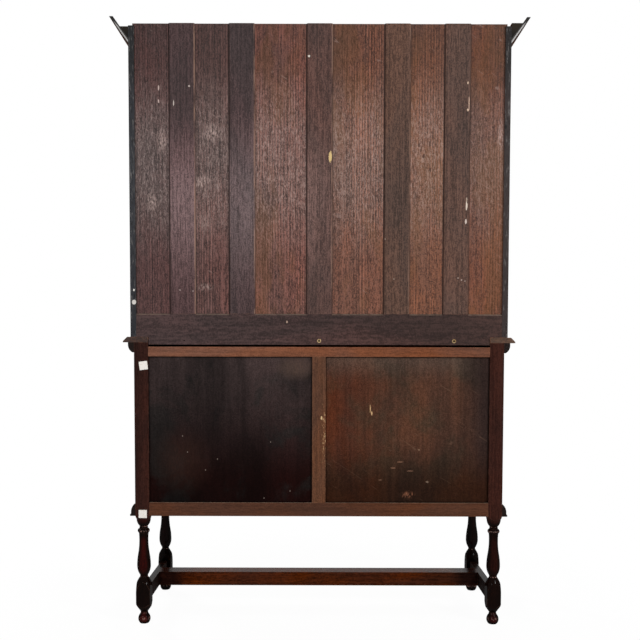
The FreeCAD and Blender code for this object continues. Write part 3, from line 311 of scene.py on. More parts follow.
muntin_finish = Oak("wiped_muntin_oak", "Z", shine=0.08)
muntin_wood = wiped(muntin_finish, tone(84, 55, 40), contrast=0.3, patch=0.3)
muntin_height = muntin_finish.axis("Z")
worn_edge = muntin_finish.window(muntin_finish.axis("X"), -0.006, -0.018)
worn_run = muntin_finish.times(muntin_finish.window(muntin_height, 0.50, 0.58),
                               muntin_finish.window(muntin_height, 0.77, 0.71))
flakes = muntin_finish.window(muntin_finish.noise((260.0, 260.0, 130.0), 4.0), 0.57, 0.63, 0.0, 0.8)
flakes = muntin_finish.times(muntin_finish.times(worn_edge, worn_run), flakes)
muntin_wood = muntin_finish.blend(flakes, muntin_wood, tone(186, 150, 110))
muntin_wood = spot(muntin_finish, muntin_wood, tone(206, 174, 130), (-0.0086, wall_plane, 0.6916),
                   (0.003, mark_depth, 0.006), ragged=0.7, amount=0.95, grit=420.0)
muntin_finish.done(muntin_wood, muntin_finish.uneven(0.5, 0.65), 0.35).on("back_muntin")

bottom_rail_finish = Oak("wiped_bottom_rail_oak", "X", shine=0.06)
bottom_rail_wood = wiped(bottom_rail_finish, tone(80, 48, 33), contrast=0.24)
bottom_rail_finish.done(bottom_rail_wood, bottom_rail_finish.uneven(0.5, 0.65), 0.35).on("back_bottom_rail")


# Back panels of the base: thin oak boards in grooves of the back frame, never polished. The right one
# is almost black with old stain, and the left one is blotched brown, scratched and knocked.
panel_rear = 0.242
panel_mark_depth = 0.004


def rubbed(finish, under, over, at, size, amount, fibrous=1.0):
    """A soft pale patch, where the stain is worn off the high fibres."""
    fibres = finish.window(finish.noise(finish.lie(300.0, 90.0), 4.0), 0.44, 0.62, 1 - fibrous, 1.0)
    worn = finish.window(from_mark(finish, at, size), 1.0, 0.1, 0.0, amount)
    return finish.blend(finish.times(worn, fibres), under, over)


def scratches(finish, wood, pale):
    """Fine scratches that run slanting over the grain, here and there."""
    slanted = finish.step("Mapping", {"Vector": finish.place, "Rotation": (0.0, 1.0, 0.0),
                                      "Scale": (0.03, 0.03, 0.6)}, vector_type="TEXTURE").outputs[0]
    waves = finish.step("TexNoise", {"Vector": slanted, "Scale": 1.0, "Detail": 0.0}).outputs["Fac"]
    hairline = finish.window(finish.off(waves, 0.5), 0.012, 0.0)
    here = finish.window(finish.noise((19.0,) * 3, 2.0), 0.56, 0.64, 0.0, 0.3)
    return finish.blend(finish.times(hairline, here), wood, pale)


blackened_finish = Oak("blackened_panel_oak", "Z", shine=0.015, streak=90.0)
to_top = blackened_finish.window(blackened_finish.axis("Z"), 0.46, 0.90)
blackened_tone = blackened_finish.blend(to_top, tone(22, 8, 7), tone(54, 44, 43))
clouds = blackened_finish.window(blackened_finish.noise((7.0, 7.0, 6.0), 6.0, 0.5), 0.48, 0.66, 0.0, 0.6)
blackened_tone = blackened_finish.blend(clouds, blackened_tone, tone(26, 27, 26))
blackened_wood = blackened_finish.grow(blackened_tone, contrast=0.16, patch=0.4, pore=0.2, crevice_dirt_and_shade=0.8,
                                       speck=0.34)
for patch_x, patch_z, patch_wide, patch_high, patch_tone in (
        (0.075, 0.859, 0.090, 0.055, tone(92, 72, 62)), (0.4525, 0.551, 0.120, 0.140, tone(56, 36, 30))):
    blackened_wood = rubbed(blackened_finish, blackened_wood, patch_tone, (patch_x, panel_rear, patch_z),
                            (patch_wide, panel_mark_depth, patch_high), amount=0.55, fibrous=0.35)
for speck_x, speck_z in ((0.4504, 0.6304), (0.1597, 0.6112), (0.4342, 0.5773), (0.3351, 0.5543),
                         (0.3749, 0.5176), (0.1814, 0.4247), (0.0952, 0.4483)):
    blackened_wood = spot(blackened_finish, blackened_wood, tone(136, 122, 112),
                          (speck_x, panel_rear, speck_z), (0.0016, panel_mark_depth, 0.0022),
                          ragged=0.4, amount=0.7, grit=500.0)
blackened_finish.done(blackened_wood, blackened_finish.uneven(0.45, 0.6), 0.25).on("back_panel_right")

blotched_finish = Oak("blotched_panel_oak", "Z", shine=0.02, streak=90.0)
blotched_across = blotched_finish.axis("X")
blotched_height = blotched_finish.axis("Z")
blotches = blotched_finish.window(blotched_finish.noise((6.0, 6.0, 4.5), 6.0, 0.4), 0.4, 0.62)
blotched_tone = blotched_finish.blend(blotches, tone(63, 49, 38), tone(80, 52, 39))
by_muntin = blotched_finish.times(blotched_finish.window(blotched_across, -0.30, -0.06),
                                  blotched_finish.window(blotches, 0.0, 1.0, 0.35, 0.8))
under_top = blotched_finish.window(blotched_height, 0.80, 0.90, 0.0, 0.7)
by_post = blotched_finish.window(blotched_across, -0.44, -0.55)
at_foot = blotched_finish.window(blotched_height, 0.64, 0.44, 0.0, 0.9)
for region, region_tone in ((by_muntin, tone(70, 37, 26)), (under_top, tone(84, 68, 59)),
                            (by_post, tone(45, 33, 30)), (at_foot, tone(39, 21, 13))):
    blotched_tone = blotched_finish.blend(region, blotched_tone, region_tone)
blotched_wood = blotched_finish.grow(blotched_tone, contrast=0.2, patch=0.3, pore=0.2, crevice_dirt_and_shade=0.8,
                                     speck=0.32)
blotched_wood = scratches(blotched_finish, blotched_wood, tone(120, 92, 74))
blotched_wood = rubbed(blotched_finish, blotched_wood, tone(150, 98, 74), (-0.296, panel_rear, 0.436),
                       (0.030, panel_mark_depth, 0.018), amount=0.8)
for mark_x, mark_z, mark_wide, mark_high, mark_tone in (
        (-0.1692, 0.723, 0.0018, 0.012, tone(200, 162, 118)),
        (-0.1742, 0.7075, 0.0026, 0.007, tone(206, 168, 124)),
        (-0.2687, 0.5458, 0.010, 0.0022, tone(118, 86, 68)),
        (-0.2456, 0.5257, 0.008, 0.0022, tone(118, 86, 68)),
        (-0.302, 0.5159, 0.010, 0.0020, tone(110, 80, 64)),
        (-0.3312, 0.5858, 0.004, 0.0026, tone(126, 100, 80)),
        (-0.2029, 0.4857, 0.006, 0.0020, tone(104, 76, 60)),
        (-0.3586, 0.4794, 0.005, 0.0035, tone(122, 102, 86))):
    blotched_wood = spot(blotched_finish, blotched_wood, mark_tone, (mark_x, panel_rear, mark_z),
                         (mark_wide, panel_mark_depth, mark_high), ragged=0.9, amount=0.8, grit=420.0)
blotched_finish.done(blotched_wood, blotched_finish.uneven(0.45, 0.6), 0.25).on("back_panel_left")


# Inside of the base: the cupboard floor on its bearers, and the drawer runners with their guides,
# in bare wood that has gone grey-brown with age.
def bare(name, along, colour, shine=0.2):
    """Planed wood with no stain and no wax."""
    finish = Oak(name, along, shine, streak=110.0)
    wood = finish.grow(colour, contrast=0.25, patch=0.2, pore=0.15, crevice_dirt_and_shade=0.6)
    return finish.done(wood, finish.uneven(0.55, 0.72), 0.3)


bare("bare_floor_board", "X", tone(132, 99, 68)).on("cupboard_floor", "floor_bearers")
bare("bare_runner", "Y", tone(120, 88, 60)).on("drawer_runners", "drawer_guides")


# Top of the base and its mouldings: a broad oak board with a bevelled edge, a quarter round planted
# under it, and an ogee moulding round the foot of the carcass. Both mouldings are mitred in front.
top_finish = Oak("waxed_top_oak", "X", shine=0.14)
to_right = top_finish.window(top_finish.axis("X"), -0.6, 0.6)
top_wood = top_finish.grow(top_finish.blend(to_right, tone(73, 55, 45), tone(55, 38, 33)),
                           contrast=0.28, patch=0.2, fleck=0.3, fleck_tone=tone(112, 78, 58))
top_wood = top_finish.rub(top_wood, carcass_bare, 0.7)
top_finish.done(top_wood, top_finish.uneven(0.28, 0.44), 0.35).on("base_top")


def turn_grain(finish, mask, letters):
    """Where the mask is 1 the axes change places, for the boards that cross the others."""
    straight = finish.step("SeparateXYZ", {0: finish.place})
    crossed = finish.step("CombineXYZ", {index: straight.outputs[letter]
                                         for index, letter in enumerate(letters)}).outputs[0]
    finish.place = finish.step("Mix", {0: mask, 4: finish.place, 5: crossed},
                               data_type="VECTOR").outputs[1]


mitre_line = 0.3955  # distance from the middle plus Y, all along the mitres
at_wall = (0.2465, 0.2475)  # the last millimetre before the wall, in Y
moulding_finish = Oak("waxed_moulding_oak", "X", shine=0.06)
moulding_y = moulding_finish.axis("Y")
past_mitre = moulding_finish.line(moulding_finish.off(moulding_finish.axis("X")), 1.0, moulding_y)
on_side = moulding_finish.step("Math", {0: past_mitre, 1: mitre_line}, operation="GREATER_THAN").outputs[0]
turn_grain(moulding_finish, on_side, "YXZ")
moulding_wood = moulding_finish.grow(tone(50, 29, 22), contrast=0.35, patch=0.2)
moulding_wood = moulding_finish.rub(moulding_wood, carcass_bare, 0.5)
wall_ends = moulding_finish.window(moulding_y, *at_wall)
moulding_wood = moulding_finish.blend(wall_ends, moulding_wood, tone(24, 16, 13))
moulding_finish.done(moulding_wood, moulding_finish.uneven(0.3, 0.46), 0.35)
moulding_finish.on("top_moulding", "base_moulding")


# Drawers: each a waxed oak front with a quarter-round bead planted on it, over a box of bare wood.
# The box is grooved for its thin bottom, and slides on runners between guides.
waxed("waxed_drawer_front_oak", "X", tone(80, 47, 33), fleck=0.4).on(
    "drawer_right_front", "drawer_left_front")
bare("bare_drawer_box", "Y", tone(150, 114, 78)).on("drawer_right_box", "drawer_left_box")


# Doors: waxed oak stiles and rails, mortised and tenoned, round a quarter-sawn panel that sits loose
# in their grooves. A quarter-round bead frames the panel.
door_middle = 0.293
rail_half = 0.2111
door_finish = Oak("waxed_door_frame_oak", "Z", shine=0.12)
from_door_middle = door_finish.off(door_finish.off(door_finish.axis("X")), door_middle)
on_rail = door_finish.step("Math", {0: from_door_middle, 1: rail_half}, operation="LESS_THAN").outputs[0]
turn_grain(door_finish, on_rail, "ZYX")
door_wood = door_finish.grow(tone(76, 45, 32), contrast=0.35, patch=0.18, fleck=0.25,
                             fleck_tone=waxed_fleck)
door_wood = door_finish.rub(door_wood, carcass_bare, 0.6)
door_finish.done(door_wood, door_finish.uneven(0.3, 0.46), 0.35)
door_finish.on("door_right_frame", "door_left_frame")
waxed("waxed_door_panel_oak", "Z", tone(86, 52, 36), fleck=0.6).on("door_right_panel", "door_left_panel")


# Hinges, handles and rack screws: cast and turned brass, darkened by age and bright where it is
# handled. The screws that hold the rack sit in cups, and their slots are dark with dirt.
def aged_brass(name, bright, dark, dirty=()):
    """Tarnished brass. Dirty gives the middles of what is filled with dirt."""
    finish = Finish(name, shine=0.5)
    finish.shader.inputs["Metallic"].default_value = 1.0
    tarnish = finish.noise((90.0,) * 3, 5.0, 0.6)
    hollows = finish.step("AmbientOcclusion", {"Distance": 0.006}, samples=6).outputs["AO"]
    colour = finish.blend(finish.window(tarnish, 0.36, 0.66), bright, dark)
    colour = finish.blend(finish.window(hollows, 0.9, 0.35), colour, tone(40, 29, 18))
    for middle in dirty:
        colour = spot(finish, colour, tone(24, 18, 13), middle, (0.0036, 0.02, 0.0036),
                      ragged=0.2, amount=0.95, grit=500.0)
    finish.paint(colour, finish.window(tarnish, 0.36, 0.66, 0.26, 0.5))
    finish.relief(finish.noise((420.0,) * 3), 0.2, depth=0.0003, arris=0.0006)
    return finish


aged_brass("aged_brass", tone(176, 138, 78), tone(112, 82, 46)).on(
    "hinge_fixed_leaves", "hinge_pins", "door_right_hinges", "door_left_hinges",
    "drawer_right_plate", "drawer_left_plate", "drawer_right_drop", "drawer_left_drop",
    "door_right_plate", "door_left_plate", "door_right_drop", "door_left_drop")
screw_heads = ((0.0, wall_plane, 0.945), (-0.4425, wall_plane, 0.945))
aged_brass("dull_brass", tone(186, 160, 120), tone(120, 96, 64), screw_heads).on("rack_screws")


# Rack sides: long oak boards that stand on the base top and hold the shelves in housings. Their rear
# edges were blackened when the back went on, and are scuffed where the rack was slid along walls.
def dry_above(finish, roughness):
    """The top edges, which nobody sees, were never waxed and are dull."""
    on_top = finish.window(finish.facing("Z"), 0.5, 0.9)
    return finish.step("Mix", {0: on_top, 2: roughness, 3: 1.0}).outputs[0]


side_finish = Oak("waxed_rack_side_oak", "Z", shine=0.12)
side_wood = side_finish.grow(tone(72, 42, 31), contrast=0.3, patch=0.18, fleck=0.4, fleck_tone=waxed_fleck)
side_wood = side_finish.rub(side_wood, carcass_bare, 0.6)
which_side = side_finish.window(side_finish.axis("X"), -0.1, 0.1)
edge_wood = side_finish.blend(which_side, tone(46, 38, 37), tone(37, 38, 42))
up_high = side_finish.window(side_finish.axis("Z"), 1.70, 1.86, 0.0, 0.75)
edge_wood = side_finish.blend(up_high, edge_wood, tone(20, 20, 20))
scuffs = side_finish.window(side_finish.noise((260.0, 260.0, 34.0), 4.0), 0.56, 0.66, 0.0, 0.55)
edge_wood = side_finish.blend(scuffs, edge_wood, tone(112, 108, 106))
grooves = side_finish.window(side_finish.noise((190.0, 190.0, 60.0)), 0.56, 0.64, 0.0, 0.8)
edge_wood = side_finish.blend(grooves, edge_wood, tone(20, 18, 18))
for chip_x, chip_z, chip_wide, chip_high, chip_tone in (
        (0.6057, 1.0706, 0.0070, 0.008, tone(206, 202, 196)),
        (0.6057, 1.1097, 0.003, 0.004, tone(206, 202, 196)),
        (-0.603, 1.6389, 0.004, 0.007, tone(14, 12, 12))):
    edge_wood = spot(side_finish, edge_wood, chip_tone, (chip_x, wall_plane, chip_z),
                     (chip_wide, mark_depth, chip_high), ragged=0.3, amount=1.0, grit=300.0)
rear_edge = side_finish.window(side_finish.axis("Y"), *at_wall)
side_wood = side_finish.blend(rear_edge, side_wood, edge_wood)
side_finish.done(side_wood, dry_above(side_finish, side_finish.uneven(0.34, 0.5)), 0.35)
side_finish.on("rack_side_right", "rack_side_left")


# Shelves, frieze and roof of the rack: oak boards in the housings of the sides. The shelves have a
# groove to stand plates in, and the roof, which nobody sees, is left dry.
waxed("waxed_shelf_oak", "X", tone(84, 51, 36), fleck=0.35).on("rack_shelf_lower", "rack_shelf_upper",
                                                              "rack_frieze")
bare("dusty_roof_board", "X", tone(70, 56, 49), shine=0.0).on("rack_roof")


# Rail and muntins of the rack's back: oak left dry behind, dark with stain and dust, and waxed before.
# The rail hangs over the edge of the base top and is screwed to it. The muntins stand in it, and carry
# a pale painted sheen about the middle of their height towards the right.
def behind(finish, front, rear):
    """One finish for the face in the rack and another for the face at the wall."""
    return finish.blend(finish.window(finish.facing("Y"), 0.1, 0.5), front, rear)


rail_finish = Oak("dry_rail_oak", "X", shine=0.12, streak=80.0)
to_right = rail_finish.window(rail_finish.axis("X"), -0.5, 0.5)
rail_wood = rail_finish.grow(rail_finish.blend(to_right, tone(58, 40, 36), tone(66, 50, 49)),
                             contrast=0.42, patch=0.25, pore=0.3, crevice_dirt_and_shade=0.6)
rail_wood = rail_finish.rub(rail_wood, tone(112, 78, 60), 0.5, reach=0.003)
rail_wood = dust(rail_finish, rail_wood, 0.3, steep=0.65)
rail_wood = spot(rail_finish, rail_wood, tone(176, 150, 132), (0.1052, wall_plane, 1.0066),
                 (0.003, mark_depth, 0.004), ragged=0.6, amount=0.8, grit=420.0)
rail_front = rail_finish.grow(tone(78, 47, 34), contrast=0.35, patch=0.2, fleck=0.3, fleck_tone=waxed_fleck)
rail_wood = behind(rail_finish, rail_front, rail_wood)
rail_finish.done(rail_wood, rail_finish.uneven(0.52, 0.66), 0.45).on("rack_rail")


def by_board(finish, boards):
    """Each board its own tone and its own run of grain: boards gives each one's low X and its tone."""
    low, high = -0.65, 0.65
    share = finish.step("MapRange", {"Value": finish.axis("X"), "From Min": low,
                                     "From Max": high}).outputs[0]
    ramp = finish.step("ValToRGB", {"Fac": share})
    stops = ramp.color_ramp.elements
    ramp.color_ramp.interpolation = "CONSTANT"
    stops.remove(stops[1])
    for index, (edge, colour) in enumerate(boards):
        place = (edge - low) / (high - low)
        stop = stops[0] if index == 0 else stops.new(place)
        stop.position = place
        stop.color = colour
    slide = finish.step("VectorMath", {0: ramp.outputs[0], "Scale": 57.0}, operation="SCALE").outputs[0]
    finish.place = finish.step("VectorMath", {0: finish.place, 1: slide}, operation="ADD").outputs[0]
    return ramp.outputs[0]


muntin_half = 0.0425
muntin_chamfer = 0.002


def seams(finish, wood, worn):
    """Painted shadow and dirt in the joints along each muntin, darkest on its right, and a broken painted
    highlight on the chamfer of its left edge.
    """
    across = finish.axis("X")
    broken = finish.window(finish.noise((30.0, 30.0, 8.0), 4.0), 0.4, 0.58)
    # Painted shadow on the right of each muntin, dirt and shade on its left, and a painted highlight on its
    # left chamfer.
    for middle, share in ((-0.446, 0.1), (-0.252, 0.6), (0.0, 0.7), (0.252, 0.9), (0.446, 1.0)):
        left_edge = middle - muntin_half
        for edge, amount, colour in (
                (middle + muntin_half, 0.85, tone(34, 21, 18)),
                (left_edge, 0.5, tone(40, 25, 21)),
                (left_edge + muntin_chamfer, finish.times(broken, worn * share), tone(160, 126, 108))):
            beside = finish.window(finish.off(across, edge), 0.0028, 0.0008)
            wood = finish.blend(finish.times(beside, amount), wood, colour)
    return wood


dry_finish = Oak("dry_muntin_oak", "Z", shine=0.14, streak=150.0)
unslid = dry_finish.place
dry_tone = by_board(dry_finish, (
    (-0.62, tone(78, 57, 49)), (-0.349, tone(78, 57, 48)), (-0.126, tone(76, 55, 50)),
    (0.126, tone(64, 50, 50)), (0.349, tone(67, 50, 50))))
dry_front = dry_finish.grow(tone(76, 46, 34), contrast=0.35, patch=0.2, fleck=0.3, fleck_tone=waxed_fleck)
dry_wood = dry_finish.grow(dry_tone, contrast=0.5, patch=0.25, pore=0.3, crevice_dirt_and_shade=0.65)
dry_wood = dry_finish.rub(dry_wood, tone(124, 90, 74), 0.4, reach=0.003)
dry_finish.place = unslid
dry_height = dry_finish.axis("Z")
# Painted sheen: paler and greyer about the middle of the height, towards the right.
muntin_painted_sheen = dry_finish.times(dry_finish.window(dry_height, 1.04, 1.38),
                                dry_finish.window(dry_height, 1.72, 1.42))
muntin_painted_sheen = dry_finish.times(muntin_painted_sheen, dry_finish.window(dry_finish.axis("X"), -0.2, 0.2))
dry_wood = dry_finish.step("HueSaturation", {
    "Color": dry_wood, "Saturation": dry_finish.line(muntin_painted_sheen, -0.2, 1.0),
    "Value": dry_finish.line(muntin_painted_sheen, 1.2, 1.0)}).outputs[0]
dry_wood = seams(dry_finish, dry_wood, 0.6)
for chip_x, chip_z, chip_wide, chip_high, chip_tone in (
        (-0.035, 1.542, 0.0055, 0.016, tone(206, 178, 124)),
        (0.0347, 1.862, 0.004, 0.004, tone(206, 198, 186)),
        (-0.479, 1.778, 0.002, 0.005, tone(196, 168, 146)),
        (-0.4832, 1.715, 0.0016, 0.022, tone(186, 156, 136)),
        (-0.480, 1.692, 0.004, 0.004, tone(196, 168, 146)),
        (0.4726, 1.712, 0.0016, 0.010, tone(190, 178, 170)),
        (0.4222, 1.766, 0.003, 0.003, tone(180, 166, 158)),
        (0.455, 1.110, 0.002, 0.002, tone(168, 152, 146)),
        (0.4126, 1.107, 0.002, 0.002, tone(168, 152, 146)),
        (-0.0016, 1.5117, 0.0022, 0.0022, tone(12, 9, 8)),
        (-0.0179, 1.5118, 0.0022, 0.0022, tone(12, 9, 8)),
        (-0.4790, 1.4050, 0.0018, 0.007, tone(168, 150, 134)),
        (-0.4786, 1.3850, 0.0028, 0.014, tone(206, 190, 174)),
        (-0.4766, 1.3330, 0.0030, 0.008, tone(196, 180, 170)),
        (-0.4533, 1.1512, 0.0020, 0.002, tone(164, 144, 134)),
        (-0.4648, 1.1448, 0.0026, 0.0018, tone(176, 156, 146)),
        (-0.4763, 1.1415, 0.0020, 0.002, tone(164, 144, 134)),
        (-0.2141, 1.2771, 0.0018, 0.0018, tone(160, 142, 130)),
        (-0.2443, 1.1475, 0.0020, 0.0018, tone(160, 142, 130))):
    dry_wood = spot(dry_finish, dry_wood, chip_tone, (chip_x, wall_plane, chip_z),
                    (chip_wide, mark_depth, chip_high), ragged=0.8, amount=0.95, grit=300.0)
dry_wood = behind(dry_finish, dry_front, dry_wood)
dry_finish.done(dry_wood, dry_above(dry_finish, dry_finish.uneven(0.5, 0.64)), 0.45).on("rack_muntins")


# Panels of the rack's back: six thin quarter-sawn boards in grooves of the muntins, each from a
# different plank. The stain has faded to gold in places, a pale painted sheen lies about the middle of
# their height, and some are rubbed.
rack_panel_rear = 0.244
faded_finish = Oak("faded_panel_oak", "Z", shine=0.16)
unslid = faded_finish.place
faded_tone = by_board(faded_finish, (
    (-0.63, tone(86, 52, 39)), (-0.446, tone(92, 58, 43)), (-0.252, tone(94, 61, 49)),
    (0.0, tone(98, 63, 55)), (0.252, tone(80, 54, 50)), (0.446, tone(72, 48, 46))))
faded_front = faded_finish.grow(tone(84, 51, 37), contrast=0.35, patch=0.2, fleck=0.45,
                                fleck_tone=tone(110, 71, 50))
faded_fleck = faded_finish.step("HueSaturation", {"Color": faded_tone, "Saturation": 0.92,
                                                  "Value": 2.15}).outputs[0]
faded_wood = faded_finish.grow(faded_tone, contrast=0.66, patch=0.3, fleck=0.36, fleck_tone=faded_fleck,
                               pore=0.35, crevice_dirt_and_shade=0.7, rings=0.42)
faded_finish.place = unslid
faded_across = faded_finish.axis("X")
faded_height = faded_finish.axis("Z")
ripple = faded_finish.window(faded_finish.noise((110.0, 110.0, 330.0), 2.0, 1.5), 0.51, 0.61)
ripple = faded_finish.times(ripple, faded_finish.window(faded_across, -0.22, -0.34, 0.0, 0.42))
golden = faded_finish.window(faded_finish.noise((10.0, 10.0, 3.5)), 0.46, 0.62, 0.0, 0.26)
golden = faded_finish.times(golden, faded_finish.window(faded_across, 0.28, 0.20))
# Painted shade, darker towards the top under the cornice.
painted_shade_under_cornice = faded_finish.window(faded_height, 1.58, 1.92, 0.0, 0.34)
# Painted sheen about the middle of the height, broken by the grain and the flecks.
painted_sheen = faded_finish.times(faded_finish.window(faded_height, 1.16, 1.46),
                           faded_finish.window(faded_height, 1.86, 1.58))
for share in (faded_finish.window(faded_across, -0.52, -0.42, 0.6, 1.0),
              faded_finish.window(faded_finish.figure, 0.42, 0.58, 0.5, 1.5),
              faded_finish.window(faded_finish.rays, 0.0, 1.0, 0.06, 0.2)):
    painted_sheen = faded_finish.times(painted_sheen, share)
for region, region_tone in ((ripple, faded_fleck), (golden, tone(112, 72, 34)),
                            (painted_shade_under_cornice, tone(32, 20, 16)), (painted_sheen, tone(192, 180, 173))):
    faded_wood = faded_finish.blend(region, faded_wood, region_tone)
for patch_x, patch_z, patch_wide, patch_high, patch_amount in (
        (0.349, 1.6175, 0.042, 0.042, 0.75), (0.5113, 1.5947, 0.024, 0.052, 0.65),
        (0.5452, 1.3954, 0.026, 0.046, 0.8), (0.3821, 1.4602, 0.034, 0.032, 0.7),
        (0.3729, 1.328, 0.036, 0.042, 0.4), (0.374, 1.120, 0.040, 0.016, 0.5),
        (-0.588, 1.613, 0.014, 0.070, 0.6)):
    faded_wood = rubbed(faded_finish, faded_wood, tone(182, 158, 150), (patch_x, rack_panel_rear, patch_z),
                        (patch_wide, panel_mark_depth, patch_high), patch_amount)
for speck_x, speck_z, speck_wide, speck_high in ((0.5215, 1.761, 0.0022, 0.009),
                                                 (0.5218, 1.719, 0.002, 0.006)):
    faded_wood = spot(faded_finish, faded_wood, tone(190, 168, 160), (speck_x, rack_panel_rear, speck_z),
                      (speck_wide, panel_mark_depth, speck_high), ragged=0.7, amount=0.9, grit=420.0)
for knot_x, knot_z in ((-0.3228, 1.5807), (-0.338, 1.545), (-0.3593, 1.5005)):
    faded_wood = spot(faded_finish, faded_wood, tone(52, 32, 26), (knot_x, rack_panel_rear, knot_z),
                      (0.0035, panel_mark_depth, 0.007), ragged=0.7, amount=0.75, grit=300.0)
faded_wood = scratches(faded_finish, faded_wood, tone(164, 140, 132))
faded_wood = seams(faded_finish, faded_wood, 0.1)
faded_wood = behind(faded_finish, faded_front, faded_wood)
faded_finish.done(faded_wood, dry_above(faded_finish, faded_finish.uneven(0.46, 0.6)), 0.5)
faded_finish.on("rack_panels")


# Cornice: thin oak boards that splay out from the frieze and sides, mitred at the front corners and
# held by glue blocks behind. The ends at the wall were blackened with the rack's rear edges.
def cornice_board(name, along, wall_low, wall_high, *pieces):
    """Stained before, and at the wall a blackened end with a painted highlight, a pale line beside its
    outer face.
    """
    foot_out, foot_height = 0.618, 1.901
    splay = 61 / 86
    finish = Oak(name, along, shine=0.0)
    wood = finish.grow(tone(66, 42, 34), contrast=0.35, patch=0.18, fleck=0.3, fleck_tone=waxed_fleck)
    wood = finish.rub(wood, carcass_bare, 0.6)
    height = finish.axis("Z")
    wall_end = finish.blend(finish.window(height, 1.925, 1.96), wall_low, wall_high)
    outer_face = finish.line(height, splay, foot_out - foot_height * splay)
    from_middle = finish.off(finish.axis("X"))
    inward = finish.step("Math", {0: outer_face, 1: from_middle}, operation="SUBTRACT").outputs[0]
    # Painted highlight: a pale line beside the outer face of the end at the wall.
    painted_edge_highlight = finish.times(finish.window(inward, 0.0015, 0.0030), finish.window(inward, 0.0080, 0.0060))
    painted_edge_highlight = finish.times(painted_edge_highlight, finish.window(height, 1.975, 1.955, 0.0, 0.8))
    wall_end = finish.blend(painted_edge_highlight, wall_end, tone(176, 174, 172))
    wood = finish.blend(finish.window(finish.axis("Y"), *at_wall), wood, wall_end)
    finish.done(wood, finish.uneven(0.36, 0.5), 0.02).on(*pieces)


cornice_board("waxed_cornice_oak", "X", tone(44, 44, 45), tone(44, 44, 45), "cornice_front")
cornice_board("waxed_cornice_side_oak", "Y", tone(64, 62, 60), tone(46, 45, 44),
              "cornice_right", "cornice_left")
cornice_board("blackened_block", "X", tone(34, 32, 31), tone(44, 39, 34), "cornice_blocks")


# Two paper labels, blank, gummed to the rear post: one under the top and one at the foot of the post.
# Each is a square of thin paper, foxed with age, and one of its corners has begun to lift.
paper_thickness = 0.00015
gum = 0.0001
corner_lift = 0.0022
paper_finish = Finish("old_paper", shine=0.2)
fibre = paper_finish.noise((900.0,) * 3)
foxing = paper_finish.window(paper_finish.noise((130.0,) * 3), 0.5, 0.75)
paper_colour = paper_finish.blend(foxing, tone(234, 229, 222), tone(214, 202, 184))
paper_finish.paint(paper_colour, paper_finish.window(fibre, 0.3, 0.7, 0.7, 0.85))
paper_finish.relief(fibre, 0.15, depth=0.0002, arris=0.0002)


def paper_label(name, at, side, turn):
    """A square of paper on the rear face of a post, with one corner lifting a little."""
    bpy.ops.object.select_all(action="DESELECT")
    bpy.ops.mesh.primitive_plane_add(size=side, location=at, rotation=(-math.pi / 2, turn, 0))
    label = bpy.context.active_object
    label.name = name
    bpy.ops.object.transform_apply(location=True, rotation=True, scale=True)
    bpy.ops.object.mode_set(mode="EDIT")
    bpy.ops.mesh.subdivide(number_cuts=7)
    bpy.ops.object.mode_set(mode="OBJECT")
    corner = max(label.data.vertices, key=lambda vertex: vertex.co.x + vertex.co.z).co.copy()
    for vertex in label.data.vertices:
        near = max(0.0, 1 - (vertex.co - corner).length / (side * 0.45))
        vertex.co.y += corner_lift * near ** 2
    thicken = label.modifiers.new("thickness", "SOLIDIFY")
    thicken.thickness = paper_thickness
    thicken.offset = 1.0
    bpy.ops.object.modifier_apply(modifier=thicken.name)
    bpy.ops.object.shade_smooth_by_angle(angle=math.radians(30))
    label.data.materials.append(paper_finish.material)
    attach(label, "carcass")


rear_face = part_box("leg_rear_right")[1].y
paper_label("label_upper", (0.5768, rear_face + gum, 0.863), 0.0275, math.radians(7))
paper_label("label_lower", (0.5826, rear_face + gum, 0.3715), 0.0270, math.radians(-1))


# Studio: a pale floor that keeps a soft shadow, white all round, and soft lamps behind and before the
# dresser. The camera stands square behind it, at the height of the base top.
def in_view(tree):
    """1 for what the camera sees, in a mirror or through glass too, and 0 for what only gives light."""
    rays = tree.nodes.new("ShaderNodeLightPath")
    seen = rays.outputs["Is Camera Ray"]
    for kind in ("Is Glossy Ray", "Is Transmission Ray"):
        either = tree.nodes.new("ShaderNodeMath")
        either.operation = "MAXIMUM"
        tree.links.new(seen, either.inputs[0])
        tree.links.new(rays.outputs[kind], either.inputs[1])
        seen = either.outputs[0]
    return seen


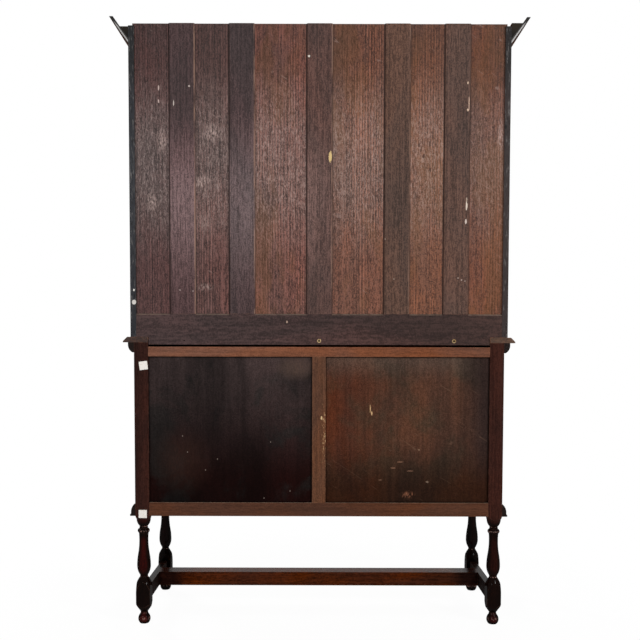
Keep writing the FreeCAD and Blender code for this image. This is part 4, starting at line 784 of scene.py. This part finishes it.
bpy.ops.object.select_all(action="DESELECT")
bpy.ops.mesh.primitive_plane_add(size=40.0, location=(0, 0, 0))
floor = bpy.context.active_object
floor.name = "studio_floor"
floor_finish = Finish("pale_floor", shine=0.0)
floor_finish.shader.inputs["Base Color"].default_value = (0.9, 0.9, 0.9, 1)
floor_finish.shader.inputs["Roughness"].default_value = 0.9
from_dresser = floor_finish.step("VectorMath", {0: floor_finish.place}, operation="LENGTH").outputs["Value"]
whiteness = floor_finish.times(in_view(floor_finish.tree),
                               floor_finish.window(from_dresser, 0.7, 1.5, 0.965, 1.0))
glow = floor_finish.step("Emission").outputs[0]
shown = floor_finish.step("MixShader", {0: whiteness, 1: floor_finish.shader.outputs[0],
                                        2: glow}).outputs[0]
floor_finish.tree.links.new(shown, floor_finish.tree.nodes["Material Output"].inputs["Surface"])
floor.data.materials.append(floor_finish.material)

world = bpy.data.worlds.new("white_studio")
bpy.context.scene.world = world
world.use_nodes = True
sky = world.node_tree
sky_level = sky.nodes.new("ShaderNodeMapRange")
sky_level.inputs["To Min"].default_value = 0.27
sky_level.inputs["To Max"].default_value = 1.0
sky.links.new(in_view(sky), sky_level.inputs["Value"])
sky.nodes["Background"].inputs["Color"].default_value = (1, 1, 1, 1)
sky.links.new(sky_level.outputs[0], sky.nodes["Background"].inputs["Strength"])


def lamp(name, at, aim, side, watts):
    """A soft square lamp."""
    bpy.ops.object.light_add(type="AREA", location=at)
    light = bpy.context.active_object
    light.name = name
    light.rotation_euler = (Vector(aim) - Vector(at)).to_track_quat("-Z", "Y").to_euler()
    light.data.shape = "RECTANGLE"
    light.data.size = side
    light.data.size_y = side
    light.data.energy = watts


lamp("rear_key", (-2.7, 2.9, 2.7), (0, 0.2, 1.2), 0.6, 107.0)
lamp("rear_fill", (1.6, 3.9, 2.5), (0, 0.2, 1.4), 0.8, 46.0)
lamp("front_key", (2.7, -3.0, 2.7), (0, -0.2, 1.0), 0.6, 107.0)
lamp("front_fill", (-1.6, -3.9, 2.5), (0, -0.2, 1.2), 0.8, 46.0)

tilt_down = math.radians(2.942)
roll = math.radians(0.137)
bpy.ops.object.camera_add(location=(0, 3.1561, 0.9223), rotation=(math.pi / 2 - tilt_down, 0, math.pi))
camera = bpy.context.active_object
camera.rotation_euler.rotate_axis("Z", roll)
camera.data.sensor_width = 36.0
camera.data.lens = 49.81
camera.data.shift_x = 0.0016
camera.data.shift_y = 0.1146
bpy.context.scene.camera = camera
bpy.context.scene.view_settings.view_transform = "Standard"
